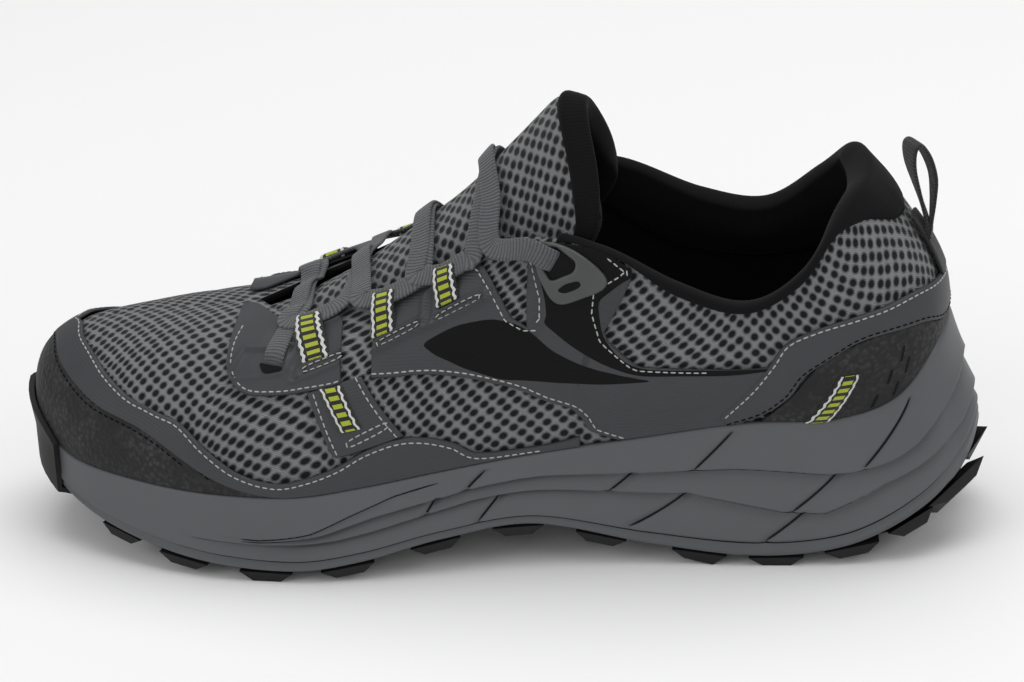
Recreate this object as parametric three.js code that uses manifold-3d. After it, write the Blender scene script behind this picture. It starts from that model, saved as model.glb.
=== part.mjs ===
import * as THREE from 'three';
import { mergeVertices } from 'three/addons/utils/BufferGeometryUtils.js';
import Module from 'manifold-3d';

// A left trail running shoe, about EU 43. X runs from the toe (-) to the heel (+), the outer side
// faces -Y, and Z is up from the ground. Lengths are in millimetres.

// Driving sizes of the shoe
const length = 304; // heel of the midsole to the toe
const ballWidth = 104; // sole edge to sole edge across the ball
const rimHeight = 48; // top edge of the midsole wall beside the heel
const archLift = 18; // height that the rise columns of the sole's bottom edge are shares of
const bedHeight = 30; // footbed under the heel
const collarHeight = 121; // heel collar above the ground
const tongueHeight = 140.5; // top of the tongue above the ground
const lugHeight = 3.7; // outsole lugs
const plateThickness = 1.8; // outsole between its lugs, let into the midsole
const groundFlat = 0.9; // lugs that end this near the ground stand on it
const rimWall = 1.8; // midsole wall at its top edge
const upperWall = 2.2; // upper
const insoleThickness = 4;
const tonguePad = 7; // tongue at its middle
const gap = 0.3; // clearance between neighbouring pieces

// A table of rows with named columns
function table(columns, rows) {
  return rows.map((row) => Object.fromEntries(columns.map((name, k) => [name, row[k]])));
}

// Stations run from the middle of the heel back (row 0) to the toe tip (last row). "along" is the
// share of the length from the heel, "out" the distance from the middle line as a share of the ball
// width, and "rise" a height as a share of the size named beside the table.

// Bottom edge of the midsole: rise is a share of archLift above the flat sole
const bottomLateral = table(['along', 'out', 'rise'], [
  [0.008, 0.0, 1.75],
  [0.02, 0.17, 1.4],
  [0.06, 0.3, 0.84],
  [0.135, 0.36, 0.2],
  [0.23, 0.375, 0.0],
  [0.34, 0.37, 0.21],
  [0.455, 0.39, 0.63],
  [0.548, 0.445, 0.47],
  [0.63, 0.498, 0.17],
  [0.7, 0.515, 0.02],
  [0.79, 0.485, 0.1],
  [0.87, 0.405, 0.33],
  [0.935, 0.3, 0.68],
  [0.98, 0.15, 1.05],
  [0.996, -0.04, 1.2],
]);
const bottomMedial = table(['along', 'out', 'rise'], [
  [0.008, 0.0, 1.75],
  [0.02, 0.17, 1.4],
  [0.06, 0.295, 0.84],
  [0.135, 0.35, 0.2],
  [0.23, 0.355, 0.0],
  [0.34, 0.325, 0.21],
  [0.455, 0.32, 0.6],
  [0.548, 0.365, 0.47],
  [0.63, 0.43, 0.18],
  [0.705, 0.47, 0.02],
  [0.795, 0.46, 0.1],
  [0.875, 0.41, 0.33],
  [0.94, 0.325, 0.68],
  [0.983, 0.2, 1.05],
  [0.996, 0.04, 1.2],
]);
// Top edge of the midsole wall: rise is a share of rimHeight
const rimLateral = table(['along', 'out', 'rise'], [
  [0.038, 0.0, 1.45],
  [0.048, 0.16, 1.36],
  [0.086, 0.265, 1.1],
  [0.148, 0.33, 1.005],
  [0.238, 0.345, 0.99],
  [0.348, 0.35, 0.885],
  [0.458, 0.382, 0.8],
  [0.548, 0.432, 0.725],
  [0.628, 0.475, 0.65],
  [0.698, 0.488, 0.592],
  [0.788, 0.458, 0.585],
  [0.87, 0.375, 0.597],
  [0.938, 0.265, 0.625],
  [0.983, 0.115, 0.68],
  [0.997, -0.04, 0.71],
]);
const rimMedial = table(['along', 'out', 'rise'], [
  [0.038, 0.0, 1.45],
  [0.048, 0.16, 1.36],
  [0.086, 0.265, 1.1],
  [0.148, 0.325, 1.01],
  [0.238, 0.33, 1.0],
  [0.348, 0.31, 0.92],
  [0.458, 0.31, 0.85],
  [0.548, 0.35, 0.77],
  [0.628, 0.408, 0.68],
  [0.706, 0.443, 0.61],
  [0.796, 0.432, 0.6],
  [0.875, 0.378, 0.61],
  [0.943, 0.288, 0.635],
  [0.985, 0.165, 0.68],
  [0.997, 0.04, 0.71],
]);
// Top of the upper: collar crest, then the eyestay edge. rise is a share of collarHeight
const crestLateral = table(['along', 'out', 'rise'], [
  [0.13, 0.0, 0.985],
  [0.134, 0.135, 0.975],
  [0.148, 0.245, 0.915],
  [0.178, 0.31, 0.805],
  [0.231, 0.335, 0.733],
  [0.298, 0.325, 0.785],
  [0.38, 0.28, 0.88],
  [0.455, 0.225, 0.862],
  [0.535, 0.19, 0.77],
  [0.62, 0.16, 0.685],
  [0.7, 0.125, 0.61],
]);
const crestMedial = table(['along', 'out', 'rise'], [
  [0.13, 0.0, 0.985],
  [0.132, 0.14, 0.985],
  [0.143, 0.25, 0.965],
  [0.175, 0.305, 0.885],
  [0.231, 0.325, 0.79],
  [0.298, 0.315, 0.82],
  [0.38, 0.275, 0.92],
  [0.455, 0.235, 0.92],
  [0.535, 0.205, 0.79],
  [0.62, 0.175, 0.7],
  [0.7, 0.145, 0.62],
]);
// Ridge of the vamp from the front of the throat to the toe: out is towards the medial side
const ridge = table(['along', 'out', 'rise'], [
  [0.752, 0.02, 0.598],
  [0.82, 0.03, 0.577],
  [0.88, 0.035, 0.56],
  [0.92, 0.04, 0.538],
]);
// Shape of a rib between rim and crest: two handles of a cubic. wallUp and crownDrop are shares of
// the rib's height, crownOut a share of its reach, wallOut and topOut shares of the ball width.
const rib = table(['wallUp', 'wallOut', 'crownDrop', 'crownOut', 'topOut'], [
  [0.4, 0.03, 0.2, 0.0, 0.11],
  [0.4, 0.03, 0.22, 0.0, 0.1],
  [0.4, 0.03, 0.26, 0.0, 0.075],
  [0.4, 0.035, 0.32, 0.0, 0.05],
  [0.4, 0.035, 0.33, 0.0, 0.035],
  [0.4, 0.03, 0.33, 0.1, 0.05],
  [0.42, 0.025, 0.33, 0.3, 0.04],
  [0.44, 0.02, 0.32, 0.42, 0.02],
  [0.46, 0.02, 0.28, 0.5, 0.0],
  [0.5, 0.02, 0.22, 0.55, 0.0],
  [0.54, 0.02, 0.14, 0.58, 0.0],
  [0.58, 0.025, 0.0, 0.62, 0.0],
  [0.6, 0.035, 0.0, 0.62, 0.0],
  [0.6, 0.055, 0.0, 0.62, 0.0],
  [0.6, 0.065, 0.0, 0.62, 0.0],
]);
// Middle line of the sole: base is the bottom of the midsole as a share of archLift above the flat
// sole, bed the footbed as a share of bedHeight
const spineRows = table(['along', 'base', 'bed'], [
  [0.0, 1.9, 1.1],
  [0.035, 0.75, 1.08],
  [0.08, 0.12, 1.05],
  [0.14, 0.0, 1.02],
  [0.24, 0.0, 1.0],
  [0.34, 0.2, 0.98],
  [0.45, 0.5, 0.95],
  [0.55, 0.42, 0.86],
  [0.64, 0.1, 0.76],
  [0.72, 0.0, 0.71],
  [0.8, 0.06, 0.71],
  [0.88, 0.33, 0.76],
  [0.95, 0.72, 0.87],
  [1.0, 1.15, 1.0],
]);

const lastStation = rimLateral.length - 1;
const throatStation = crestLateral.length; // first row of the ridge
const columnsPerStation = 2;
const columnCount = 2 * lastStation * columnsPerStation;

const toeward = (along) => length * (0.5 - along); // X of a share of the length
const lerp = THREE.MathUtils.lerp;
const axes = ['x', 'y', 'z'];

// Catmull-Rom blend of four values at share t between the middle two
function blend4(a, b, c, d, t) {
  const cubic = 3 * b - a - 3 * c + d;
  return 0.5 * (2 * b + (c - a) * t + (2 * a - 5 * b + 4 * c - d) * t * t + cubic * t * t * t);
}

function blendPoints(points, t) {
  return new THREE.Vector3(...axes.map((axis) => blend4(...points.map((p) => p[axis]), t)));
}

// The value of a column at station s of its table
function column(rows, name, s) {
  const last = rows.length - 1;
  const k = Math.min(Math.floor(s), last - 1);
  const at = (i) => rows[Math.min(Math.max(i, 0), last)][name];
  return blend4(at(k - 1), at(k), at(k + 1), at(k + 2), s - k);
}

// The value of a column where the along column has the given share
function valueAlong(rows, name, along) {
  const last = rows.length - 1;
  let k = 0;
  while (k < last - 1 && rows[k + 1].along < along) k += 1;
  const t = (along - rows[k].along) / (rows[k + 1].along - rows[k].along);
  return column(rows, name, k + THREE.MathUtils.clamp(t, 0, 1));
}

// A turn of 0 to 1 is the lateral side from heel to toe, 1 to 2 the medial side back to the heel
function place(turn) {
  const t = ((turn % 2) + 2) % 2;
  return t <= 1 ? { side: -1, station: t * lastStation } : { side: 1, station: (2 - t) * lastStation };
}

// A closed ring through the rows of both sides, as a function of turn
function ring(lateral, medial, height) {
  const point = (row, side) => new THREE.Vector3(toeward(row.along), side * row.out * ballWidth, height(row.rise));
  const points = [
    ...lateral.map((row) => point(row, -1)),
    ...medial.slice(1, -1).reverse().map((row) => point(row, 1)),
  ];
  const n = points.length;
  return (turn) => {
    const s = ((((turn * n) / 2) % n) + n) % n;
    const k = Math.floor(s);
    return blendPoints([-1, 0, 1, 2].map((i) => points[(k + i + n) % n]), s - k);
  };
}

const bottomRing = ring(bottomLateral, bottomMedial, (rise) => lugHeight + rise * archLift);
const rimRing = ring(rimLateral, rimMedial, (rise) => rise * rimHeight);

// Point of the collar crest, the eyestay edge or, past the throat, the ridge that both sides share
function crestPoint(turn) {
  const { side, station } = place(turn);
  const rows = side < 0 ? crestLateral : crestMedial;
  const otherRows = side < 0 ? crestMedial : crestLateral;
  const at = (row, way) => new THREE.Vector3(toeward(row.along), way * row.out * ballWidth, row.rise * collarHeight);
  const rowPoint = (k) => {
    if (k < 0) return at(otherRows[-k], -side);
    return k < throatStation ? at(rows[k], side) : at(ridge[k - throatStation], 1);
  };
  const k = Math.min(Math.floor(station), lastStation - 1);
  const b = rowPoint(k);
  const c = rowPoint(k + 1);
  const straight = (near, far) => near.clone().multiplyScalar(2).sub(far);
  const a = k === throatStation ? straight(b, c) : rowPoint(k - 1);
  const d = k + 2 > lastStation || k === throatStation - 1 ? straight(c, b) : rowPoint(k + 2);
  return blendPoints([a, b, c, d], station - k);
}

const nearby = 0.004; // step for slopes, as a share of a side

// Outward direction of the rim, level with the ground
function outward(turn) {
  const step = rimRing(turn + nearby).sub(rimRing(turn - nearby));
  return new THREE.Vector3(-step.y, step.x, 0).normalize();
}

// Outer face of the upper: v is 0 at the rim and 1 at the crest
function skin(turn, v) {
  const { station } = place(turn);
  const value = (name) => column(rib, name, station);
  const n = outward(turn);
  const foot = rimRing(turn).addScaledVector(n, -(rimWall + gap));
  const top = crestPoint(turn);
  const rise = top.z - foot.z;
  const wall = foot.clone().addScaledVector(n, value('wallOut') * ballWidth);
  wall.z += value('wallUp') * rise;
  const reach = new THREE.Vector3(foot.x - top.x, foot.y - top.y, 0);
  const crown = top.clone().addScaledVector(reach, value('crownOut'));
  crown.addScaledVector(n, value('topOut') * ballWidth);
  crown.z -= value('crownDrop') * rise;
  return new THREE.CubicBezierCurve3(foot, wall, crown, top).getPoint(v);
}

// Direction out of the upper. On the ridge both sides share one direction.
function skinNormal(turn, v) {
  const w = THREE.MathUtils.clamp(v, nearby, 1 - 4 * nearby);
  const around = skin(turn + nearby, w).sub(skin(turn - nearby, w));
  const up = skin(turn, w + nearby).sub(skin(turn, w - nearby));
  return up.cross(around).normalize();
}

const onRidge = (turn) => place(turn).station > throatStation - nearby;

function offsetSkin(turn, v, distance) {
  const normal = skinNormal(turn, v);
  if (v > 1 - nearby && onRidge(turn)) normal.add(skinNormal(2 - turn, v)).normalize();
  return skin(turn, v).addScaledVector(normal, distance);
}

// Middle line under the foot: the same point for both sides
const spineStart = 0.11;
const spineEnd = 0.86;
function spine(turn) {
  const { station } = place(turn);
  const along = (column(rimLateral, 'along', station) + column(rimMedial, 'along', station)) / 2;
  return toeward(THREE.MathUtils.clamp(along, spineStart, spineEnd));
}

const alongOf = (x) => 0.5 - x / length;
const baseHeight = (x) => lugHeight + archLift * valueAlong(spineRows, 'base', alongOf(x));
const bedAt = (x) => bedHeight * valueAlong(spineRows, 'bed', alongOf(x));

// Bottom of the midsole: q is 0 at its edge and 1 on the middle line
function sole(turn, q) {
  const edge = bottomRing(turn);
  const x = lerp(edge.x, spine(turn), q);
  const lift = edge.z - baseHeight(edge.x);
  return new THREE.Vector3(x, edge.y * (1 - q), baseHeight(x) + lift * (1 - q) ** 3);
}

function soleNormal(turn, q) {
  if (q > 1 - nearby) {
    const x = spine(turn);
    return new THREE.Vector3(baseHeight(x + 1) - baseHeight(x - 1), 0, -2).normalize();
  }
  const w = Math.max(q, nearby);
  const around = sole(turn + nearby, w).sub(sole(turn - nearby, w));
  const inward = sole(turn, w + nearby).sub(sole(turn, w - nearby));
  return inward.cross(around).negate().normalize();
}

const offsetSole = (turn, q, distance) => sole(turn, q).addScaledVector(soleNormal(turn, q), distance);

// Level curve inside the rim at the footbed
const footTuck = 1.2; // the upper's foot leans in by this
function bedPoint(turn, inset, height, q = 0) {
  const p = rimRing(turn).addScaledVector(outward(turn), -inset);
  const x = lerp(p.x, spine(turn), q);
  return new THREE.Vector3(x, p.y * (1 - q), bedAt(x) + height);
}

// A closed surface from a grid of points: rows run one way, columns the other. Cells with a skip
// are left out, and triangles whose corners coincide are dropped.
function gridSurface(rows, closedRows, closedColumns, skip = () => false) {
  const positions = [];
  const triangle = (a, b, c) => {
    const flat = new THREE.Triangle(a, b, c).getArea() < 1e-6;
    if (!flat) positions.push(...a.toArray(), ...b.toArray(), ...c.toArray());
  };
  const rowEnd = closedRows ? rows.length : rows.length - 1;
  const width = rows[0].length;
  const columnEnd = closedColumns ? width : width - 1;
  for (let j = 0; j < rowEnd; j += 1) {
    for (let i = 0; i < columnEnd; i += 1) {
      if (skip(j, i)) continue;
      const a = rows[j][i];
      const b = rows[j][(i + 1) % width];
      const c = rows[(j + 1) % rows.length][(i + 1) % width];
      const d = rows[(j + 1) % rows.length][i];
      if (a.distanceTo(c) <= b.distanceTo(d)) {
        triangle(a, b, c);
        triangle(a, c, d);
      } else {
        triangle(a, b, d);
        triangle(b, c, d);
      }
    }
  }
  return positions;
}

// End faces of a strip whose rows are closed loops
function endFaces(rows) {
  const positions = [];
  const face = (row, flip) => {
    const normal = new THREE.Vector3();
    row.forEach((p, k) => normal.add(new THREE.Vector3().crossVectors(p, row[(k + 1) % row.length])));
    normal.normalize();
    const right = row[1].clone().sub(row[0]).projectOnPlane(normal).normalize();
    const up = new THREE.Vector3().crossVectors(normal, right);
    const flat = row.map((p) => new THREE.Vector2(p.dot(right), p.dot(up)));
    for (const [i, j, k] of THREE.ShapeUtils.triangulateShape(flat, [])) {
      const turned = flat[j].clone().sub(flat[i]).cross(flat[k].clone().sub(flat[i])) < 0;
      const order = turned === flip ? [i, j, k] : [i, k, j];
      for (const n of order) positions.push(...row[n].toArray());
    }
  };
  face(rows[0], true);
  face(rows[rows.length - 1], false);
  return positions;
}

// Positions of triangles as a geometry with shared corners, turned outward
const weld = 1e-4;
function closed(positions) {
  const geometry = new THREE.BufferGeometry();
  geometry.setAttribute('position', new THREE.Float32BufferAttribute(positions, 3));
  const merged = mergeVertices(geometry, weld);
  const index = merged.index.array;
  const corner = (k) => new THREE.Vector3().fromBufferAttribute(merged.attributes.position, index[k]);
  let volume = 0;
  const kept = [];
  for (let k = 0; k < index.length; k += 3) {
    if (index[k] === index[k + 1] || index[k + 1] === index[k + 2] || index[k] === index[k + 2]) continue;
    volume += corner(k).dot(corner(k + 1).cross(corner(k + 2)));
    kept.push(index[k], index[k + 1], index[k + 2]);
  }
  if (volume < 0) kept.reverse();
  merged.setIndex(kept);
  return merged;
}

const turns = Array.from({ length: columnCount }, (_, i) => (2 * i) / columnCount);

// Outsole, midsole and insole
const wasm = await Module();
wasm.setup();

function toSolid(geometry) {
  const vertProperties = new Float32Array(geometry.attributes.position.array);
  const triVerts = new Uint32Array(geometry.index.array);
  return new wasm.Manifold(new wasm.Mesh({ numProp: 3, vertProperties, triVerts }));
}

function toGeometry(solid) {
  const mesh = solid.getMesh();
  const geometry = new THREE.BufferGeometry();
  geometry.setAttribute('position', new THREE.Float32BufferAttribute(mesh.vertProperties, 3));
  geometry.setIndex([...mesh.triVerts]);
  return geometry;
}

// Steps of the midsole's side from its bottom edge (0) to the rim (1). The two grooves run at
// heights that change from heel to toe; "in" is how far a ring sits behind the plain wall.
const grooves = table(['along', 'low', 'high', 'depth'], [
  [0.0, 0.3, 0.5, 1.0],
  [0.1, 0.28, 0.52, 1.0],
  [0.25, 0.3, 0.55, 1.0],
  [0.4, 0.28, 0.6, 1.0],
  [0.55, 0.3, 0.52, 0.9],
  [0.7, 0.24, 0.42, 0.6],
  [0.85, 0.2, 0.36, 0.25],
  [1.0, 0.2, 0.4, 0.0],
]);
const grooveDepth = 1.6;
const grooveHalf = 0.05; // half the groove's height as a share of the wall
const bulge = 1.3; // how far the wall swells between grooves

function sidePoint(turn, share, inset) {
  const low = bottomRing(turn);
  const high = rimRing(turn);
  return low.lerp(high, share).addScaledVector(outward(turn), -inset);
}

// Rings of the wall: the height that each is measured from, how many half grooves above it, its
// share of the swell, and its share of the groove's depth
const wallRings = table(['from', 'halves', 'swell', 'deep'], [
  ['edge', 0, 0.8, 0],
  ['low', -1, 1, 0],
  ['low', 0, 1, 1],
  ['low', 1, 0.7, 0],
  ['high', -1, 0.8, 0],
  ['high', 0, 1, 1],
  ['high', 1, 0.3, 0],
]);
const wallEdge = 0.06; // height of the lowest ring

function sideRings(turn) {
  const value = (name) => valueAlong(grooves, name, alongOf(bottomRing(turn).x));
  const heights = { edge: wallEdge, low: value('low'), high: value('high') };
  return wallRings.map((row) => {
    const inset = value('depth') * (row.deep * grooveDepth - row.swell * bulge);
    return sidePoint(turn, heights[row.from] + row.halves * grooveHalf, inset);
  });
}

const lip = 0.05; // lip of the midsole round the outsole, as a share of the way to the middle line
const soleShares = [1, 0.5, 0.18, lip];
const bedShares = [0, 0.5, 1];

function midsoleGeometry() {
  const columns = turns.map((turn) => [
    ...soleShares.map((q) => offsetSole(turn, q, -plateThickness - gap)),
    sole(turn, lip),
    sole(turn, 0),
    ...sideRings(turn),
    rimRing(turn),
    rimRing(turn).addScaledVector(outward(turn), -rimWall),
    ...bedShares.map((q) => bedPoint(turn, rimWall + (q ? 0 : footTuck), 0, q)),
  ]);
  return closed(gridSurface(columns, true, false));
}

const plateShares = [...soleShares.slice(0, -1), lip + 0.015];
function plateGeometry() {
  const columns = turns.map((turn) => [
    ...plateShares.map((q) => offsetSole(turn, q, -plateThickness)),
    ...[...plateShares].reverse().map((q) => sole(turn, q)),
  ]);
  return closed(gridSurface(columns, true, false));
}

// A lug: a frustum that stands on the plate and ends level, on the ground where the sole is flat
const lugRoot = 0.8 * plateThickness; // depth of its root in the plate
const lipRoot = 0.8; // its outer side clears the midsole's lip by this
const lugSlope = 0.24; // its end is this share narrower on each side
function lugGeometry(turn, inward, long, wide) {
  const edge = bottomRing(turn);
  const q = (inward * ballWidth + wide / 2) / Math.hypot(edge.x - spine(turn), edge.y);
  const centre = sole(turn, q);
  const down = soleNormal(turn, q);
  const front = bottomRing(turn + nearby).sub(bottomRing(turn - nearby));
  front.addScaledVector(down, -front.dot(down)).normalize();
  const across = new THREE.Vector3().crossVectors(down, front);
  const outer = Math.sign(across.dot(outward(turn)));
  const rootHeight = (b) => (b * outer > 0 && inward < lip ? lipRoot : -lugRoot);
  const corner = (a, b, height) => {
    const p = centre.clone().addScaledVector(front, (a * long) / 2).addScaledVector(across, (b * wide) / 2);
    p.addScaledVector(down, height);
    if (height === lugHeight && p.z < groundFlat) p.z = 0;
    return p;
  };
  const square = [[-1, -1], [1, -1], [1, 1], [-1, 1]];
  const end = 1 - 2 * lugSlope;
  const root = square.map(([a, b]) => corner(a, b, rootHeight(b)));
  const tip = square.map(([a, b]) => corner(a * end, b * (1 - lugSlope / 2), lugHeight));
  const positions = gridSurface([root, tip], false, true);
  const face = (ring4) => [ring4[0], ring4[1], ring4[2], ring4[0], ring4[2], ring4[3]];
  for (const p of face(root).reverse()) positions.push(...p.toArray());
  for (const p of face(tip)) positions.push(...p.toArray());
  return closed(positions);
}

// Lugs by row: along; inward, from the sole's edge to the lug as a share of the ball width; and the
// lug's length and width at its root as shares of lugLength
const lugLength = 17;
const lugRows = table(['along', 'inward', 'long', 'wide'], [
  [0.024, 0.005, 1.55, 0.65],
  [0.07, 0.01, 0.94, 0.71],
  [0.134, 0.01, 1.0, 0.76],
  [0.21, 0.01, 1.0, 0.76],
  [0.287, 0.01, 1.0, 0.76],
  [0.388, 0.01, 0.94, 0.71],
  [0.475, 0.01, 0.94, 0.71],
  [0.56, 0.01, 0.94, 0.76],
  [0.648, 0.01, 1.0, 0.82],
  [0.728, 0.01, 1.0, 0.82],
  [0.812, 0.01, 1.0, 0.82],
  [0.886, 0.015, 0.88, 0.71],
  [0.1, 0.19, 0.76, 0.65],
  [0.172, 0.19, 0.76, 0.71],
  [0.248, 0.19, 0.76, 0.71],
  [0.34, 0.18, 0.71, 0.65],
  [0.6, 0.22, 0.82, 0.76],
  [0.685, 0.24, 0.82, 0.82],
  [0.768, 0.24, 0.82, 0.82],
  [0.848, 0.22, 0.76, 0.71],
]);

// The turn on one side at which the bottom edge has the given share
function turnAt(along, side) {
  let low = 0;
  let high = 1;
  for (let k = 0; k < 30; k += 1) {
    const middle = (low + high) / 2;
    if (alongOf(bottomRing(side < 0 ? middle : 2 - middle).x) < along) low = middle;
    else high = middle;
  }
  return side < 0 ? low : 2 - low;
}

// Rubber that wraps the toe: from the plate over the midsole's edge and up over the toe cap
const capThickness = 1.1;
const wrapThickness = 1.8;
const wrapReach = 0.11; // how far it goes round each side, as a share of a side
const wrapTop = 0.2; // height on the toe as a share of the upper's rib
const wrapProud = 0.1; // how far its start stands out of the plate
// Rings under the sole, as shares of the way to the middle line: the first two are rooted in the plate
const wrapUnder = [0.25, 0.15, 0.09, 0.03];
const wrapColumns = 14;
function wrapGeometry() {
  const layer = (turn, distance, root) => {
    const fade = 1 - Math.abs(turn - 1) / wrapReach;
    const v = wrapTop * Math.sqrt(Math.max(fade, 0.02));
    const edge = bottomRing(turn);
    const edgeWay = outward(turn).add(soleNormal(turn, 0.1)).normalize();
    return [
      offsetSole(turn, wrapUnder[0], root),
      offsetSole(turn, wrapUnder[1], root),
      offsetSole(turn, wrapUnder[2], distance),
      offsetSole(turn, wrapUnder[3], distance),
      edge.addScaledVector(edgeWay, distance + gap),
      sidePoint(turn, 0.5, -distance),
      rimRing(turn).addScaledVector(outward(turn), distance),
      offsetSkin(turn, v, layerOne[1] + facetRoom + distance),
    ];
  };
  const columns = [];
  for (let i = 0; i <= wrapColumns; i += 1) {
    const turn = 1 + wrapReach * ((2 * i) / wrapColumns - 1);
    const inner = layer(turn, gap, -plateThickness / 2);
    const outer = layer(turn, gap + wrapThickness, wrapProud);
    columns.push([...inner, ...outer.reverse()]);
  }
  return closed([...gridSurface(columns, false, true), ...endFaces(columns)]);
}

function outsoleGeometry() {
  let solid = toSolid(plateGeometry());
  solid = solid.add(toSolid(wrapGeometry()));
  for (const row of lugRows) {
    for (const side of [-1, 1]) {
      const turn = turnAt(row.along, side);
      const lug = lugGeometry(turn, row.inward, row.long * lugLength, row.wide * lugLength);
      solid = solid.add(toSolid(lug));
    }
  }
  return toGeometry(solid);
}

const insoleClearance = 0.8; // round a loose insole
const insoleInset = rimWall + gap + footTuck + upperWall + insoleClearance;
function insoleGeometry() {
  const columns = turns.filter((_, i) => i % 2 === 0).map((turn) => [
    bedPoint(turn, insoleInset, gap, 1),
    bedPoint(turn, insoleInset, gap, 0.5),
    bedPoint(turn, insoleInset, gap),
    bedPoint(turn, insoleInset, gap + insoleThickness),
    bedPoint(turn, insoleInset, gap + insoleThickness, 0.5),
    bedPoint(turn, insoleInset, gap + insoleThickness, 1),
  ]);
  return closed(gridSurface(columns, true, false));
}

// Upper: one hollow shell, open underneath, at the throat and at the collar
const collarRoll = 0.05; // share of the rib that the padded collar covers at the top
function upperTop(turn) {
  const { station } = place(turn);
  return 1 - collarRoll * THREE.MathUtils.clamp(7 - station, 0, 1);
}
const skinShares = [0, 0.12, 0.25, 0.38, 0.5, 0.61, 0.71, 0.8, 0.88, 0.945, 1];

function upperGeometry() {
  const rowsOf = (turn, distance) => [
    bedPoint(turn, rimWall + gap + footTuck - distance, gap),
    ...skinShares.map((share) => offsetSkin(turn, share * upperTop(turn), distance)),
  ];
  const outer = turns.map((turn) => rowsOf(turn, 0));
  const inner = turns.map((turn) => rowsOf(turn, -upperWall).reverse());
  const columns = outer.map((rows, i) => [...rows, ...inner[i]]);
  const edge = outer[0].length - 1;
  const ridgeColumn = (j) => onRidge(turns[j % columnCount]);
  const skip = (j, i) => i === edge && ridgeColumn(j) && ridgeColumn(j + 1);
  return closed(gridSurface(columns, true, true, skip));
}

// Tongue: an arched pad. rise is a share of collarHeight, up a share of the tongue's height over the
// collar, half and drop shares of the ball width, and pad a share of tonguePad
const tongueRows = table(['along', 'rise', 'up', 'half', 'drop', 'pad'], [
  [0.775, 0.549, 0, 0.16, 0.06, 0.35],
  [0.74, 0.574, 0, 0.18, 0.08, 0.5],
  [0.7, 0.615, 0, 0.2, 0.115, 0.7],
  [0.62, 0.735, 0, 0.235, 0.23, 0.9],
  [0.535, 0.89, 0, 0.25, 0.33, 1.0],
  [0.475, 0.96, 0.5, 0.25, 0.36, 1.4],
  [0.437, 0.995, 0.86, 0.24, 0.33, 2.0],
  [0.42, 1.0, 1.0, 0.23, 0.3, 2.0],
  [0.405, 1.0, 0.97, 0.21, 0.29, 1.1],
]);
const tongueLean = 0.33; // how far its sides lean back as they drop
const tongueSteps = 2;
const tongueAcross = [-1, -0.85, -0.6, -0.3, 0, 0.3, 0.6, 0.85, 1];

function tonguePoint(s, b) {
  const value = (name) => column(tongueRows, name, s);
  const fall = value('drop') * ballWidth * b * b;
  const x = toeward(value('along')) + tongueLean * fall;
  const height = value('rise') * collarHeight + value('up') * (tongueHeight - collarHeight);
  return new THREE.Vector3(x, b * value('half') * ballWidth, height - fall);
}

function tongueNormal(s, b) {
  const last = tongueRows.length - 1;
  const low = Math.max(s - 0.05, 0);
  const high = Math.min(s + 0.05, last);
  const along = tonguePoint(high, b).sub(tonguePoint(low, b));
  const across = tonguePoint(s, b + 0.02).sub(tonguePoint(s, b - 0.02));
  return along.cross(across).normalize();
}

function tongueGeometry() {
  const last = tongueRows.length - 1;
  const rows = [];
  for (let k = 0; k <= last * tongueSteps; k += 1) {
    const s = k / tongueSteps;
    const pad = column(tongueRows, 'pad', s) * tonguePad;
    const outer = tongueAcross.map((b) => tonguePoint(s, b));
    const inner = tongueAcross.map((b) => {
      const thick = pad * (0.3 + 0.7 * Math.sqrt(1 - b * b));
      return tonguePoint(s, b).addScaledVector(tongueNormal(s, b), -thick);
    });
    rows.push([...outer, ...inner.reverse()]);
  }
  return closed([...gridSurface(rows, false, true), ...endFaces(rows)]);
}

// Overlays lie on the upper in two layers. A patch is a strip of columns across the skin. Each
// column runs from a low end to a high end: "at" is a station (0 heel back, the last the toe tip),
// and low and high are heights on the upper's rib.
const filmThickness = capThickness;
const webbingThickness = 0.9;
const patchColumns = ['lowAt', 'low', 'highAt', 'high'];
const facetRoom = 0.25; // more room than the gap, because flat facets cut the curve
const layerOne = [gap + facetRoom, gap + facetRoom + filmThickness];
const secondLift = layerOne[1] + gap + 1.4 * facetRoom;
const layerTwo = [secondLift, secondLift + webbingThickness];

const toeCap = table(patchColumns, [
  [9.4, 0.02, 9.4, 0.03],
  [9.9, 0.02, 9.9, 0.07],
  [10.6, 0.02, 10.6, 0.2],
  [11.1, 0.02, 11.1, 0.24],
  [11.8, 0.02, 11.8, 0.28],
  [12.6, 0.02, 12.6, 0.38],
  [13.4, 0.02, 13.4, 0.5],
  [14, 0.02, 14, 0.54],
]);
const toeTrim = table(patchColumns, [
  [7.1, 0.02, 7.1, 0.05],
  [7.5, 0.02, 7.5, 0.16],
  [8.2, 0.02, 8.2, 0.11],
  [9.2, 0.02, 9.2, 0.06],
  [9.4, 0.045, 9.4, 0.09],
  [9.9, 0.085, 9.9, 0.18],
  [10.6, 0.215, 10.6, 0.33],
  [11.1, 0.255, 11.1, 0.35],
  [11.8, 0.295, 11.8, 0.44],
  [12.6, 0.395, 12.6, 0.6],
  [13.4, 0.515, 13.4, 0.74],
  [14, 0.555, 14, 0.79],
]);
const frontEyestay = table(patchColumns, [
  [8.55, 0.48, 9.0, 0.8],
  [8.9, 0.475, 9.35, 0.9],
  [9.4, 0.48, 9.75, 0.93],
  [9.8, 0.52, 10.3, 0.95],
  [10.15, 0.62, 10.7, 0.96],
  [10.45, 0.74, 10.9, 0.94],
]);
const eyestay = table(patchColumns, [
  [7.25, 0.68, 7.75, 0.96],
  [7.6, 0.64, 8.1, 0.965],
  [8.0, 0.61, 8.45, 0.96],
  [8.42, 0.57, 8.85, 0.95],
]);
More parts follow.
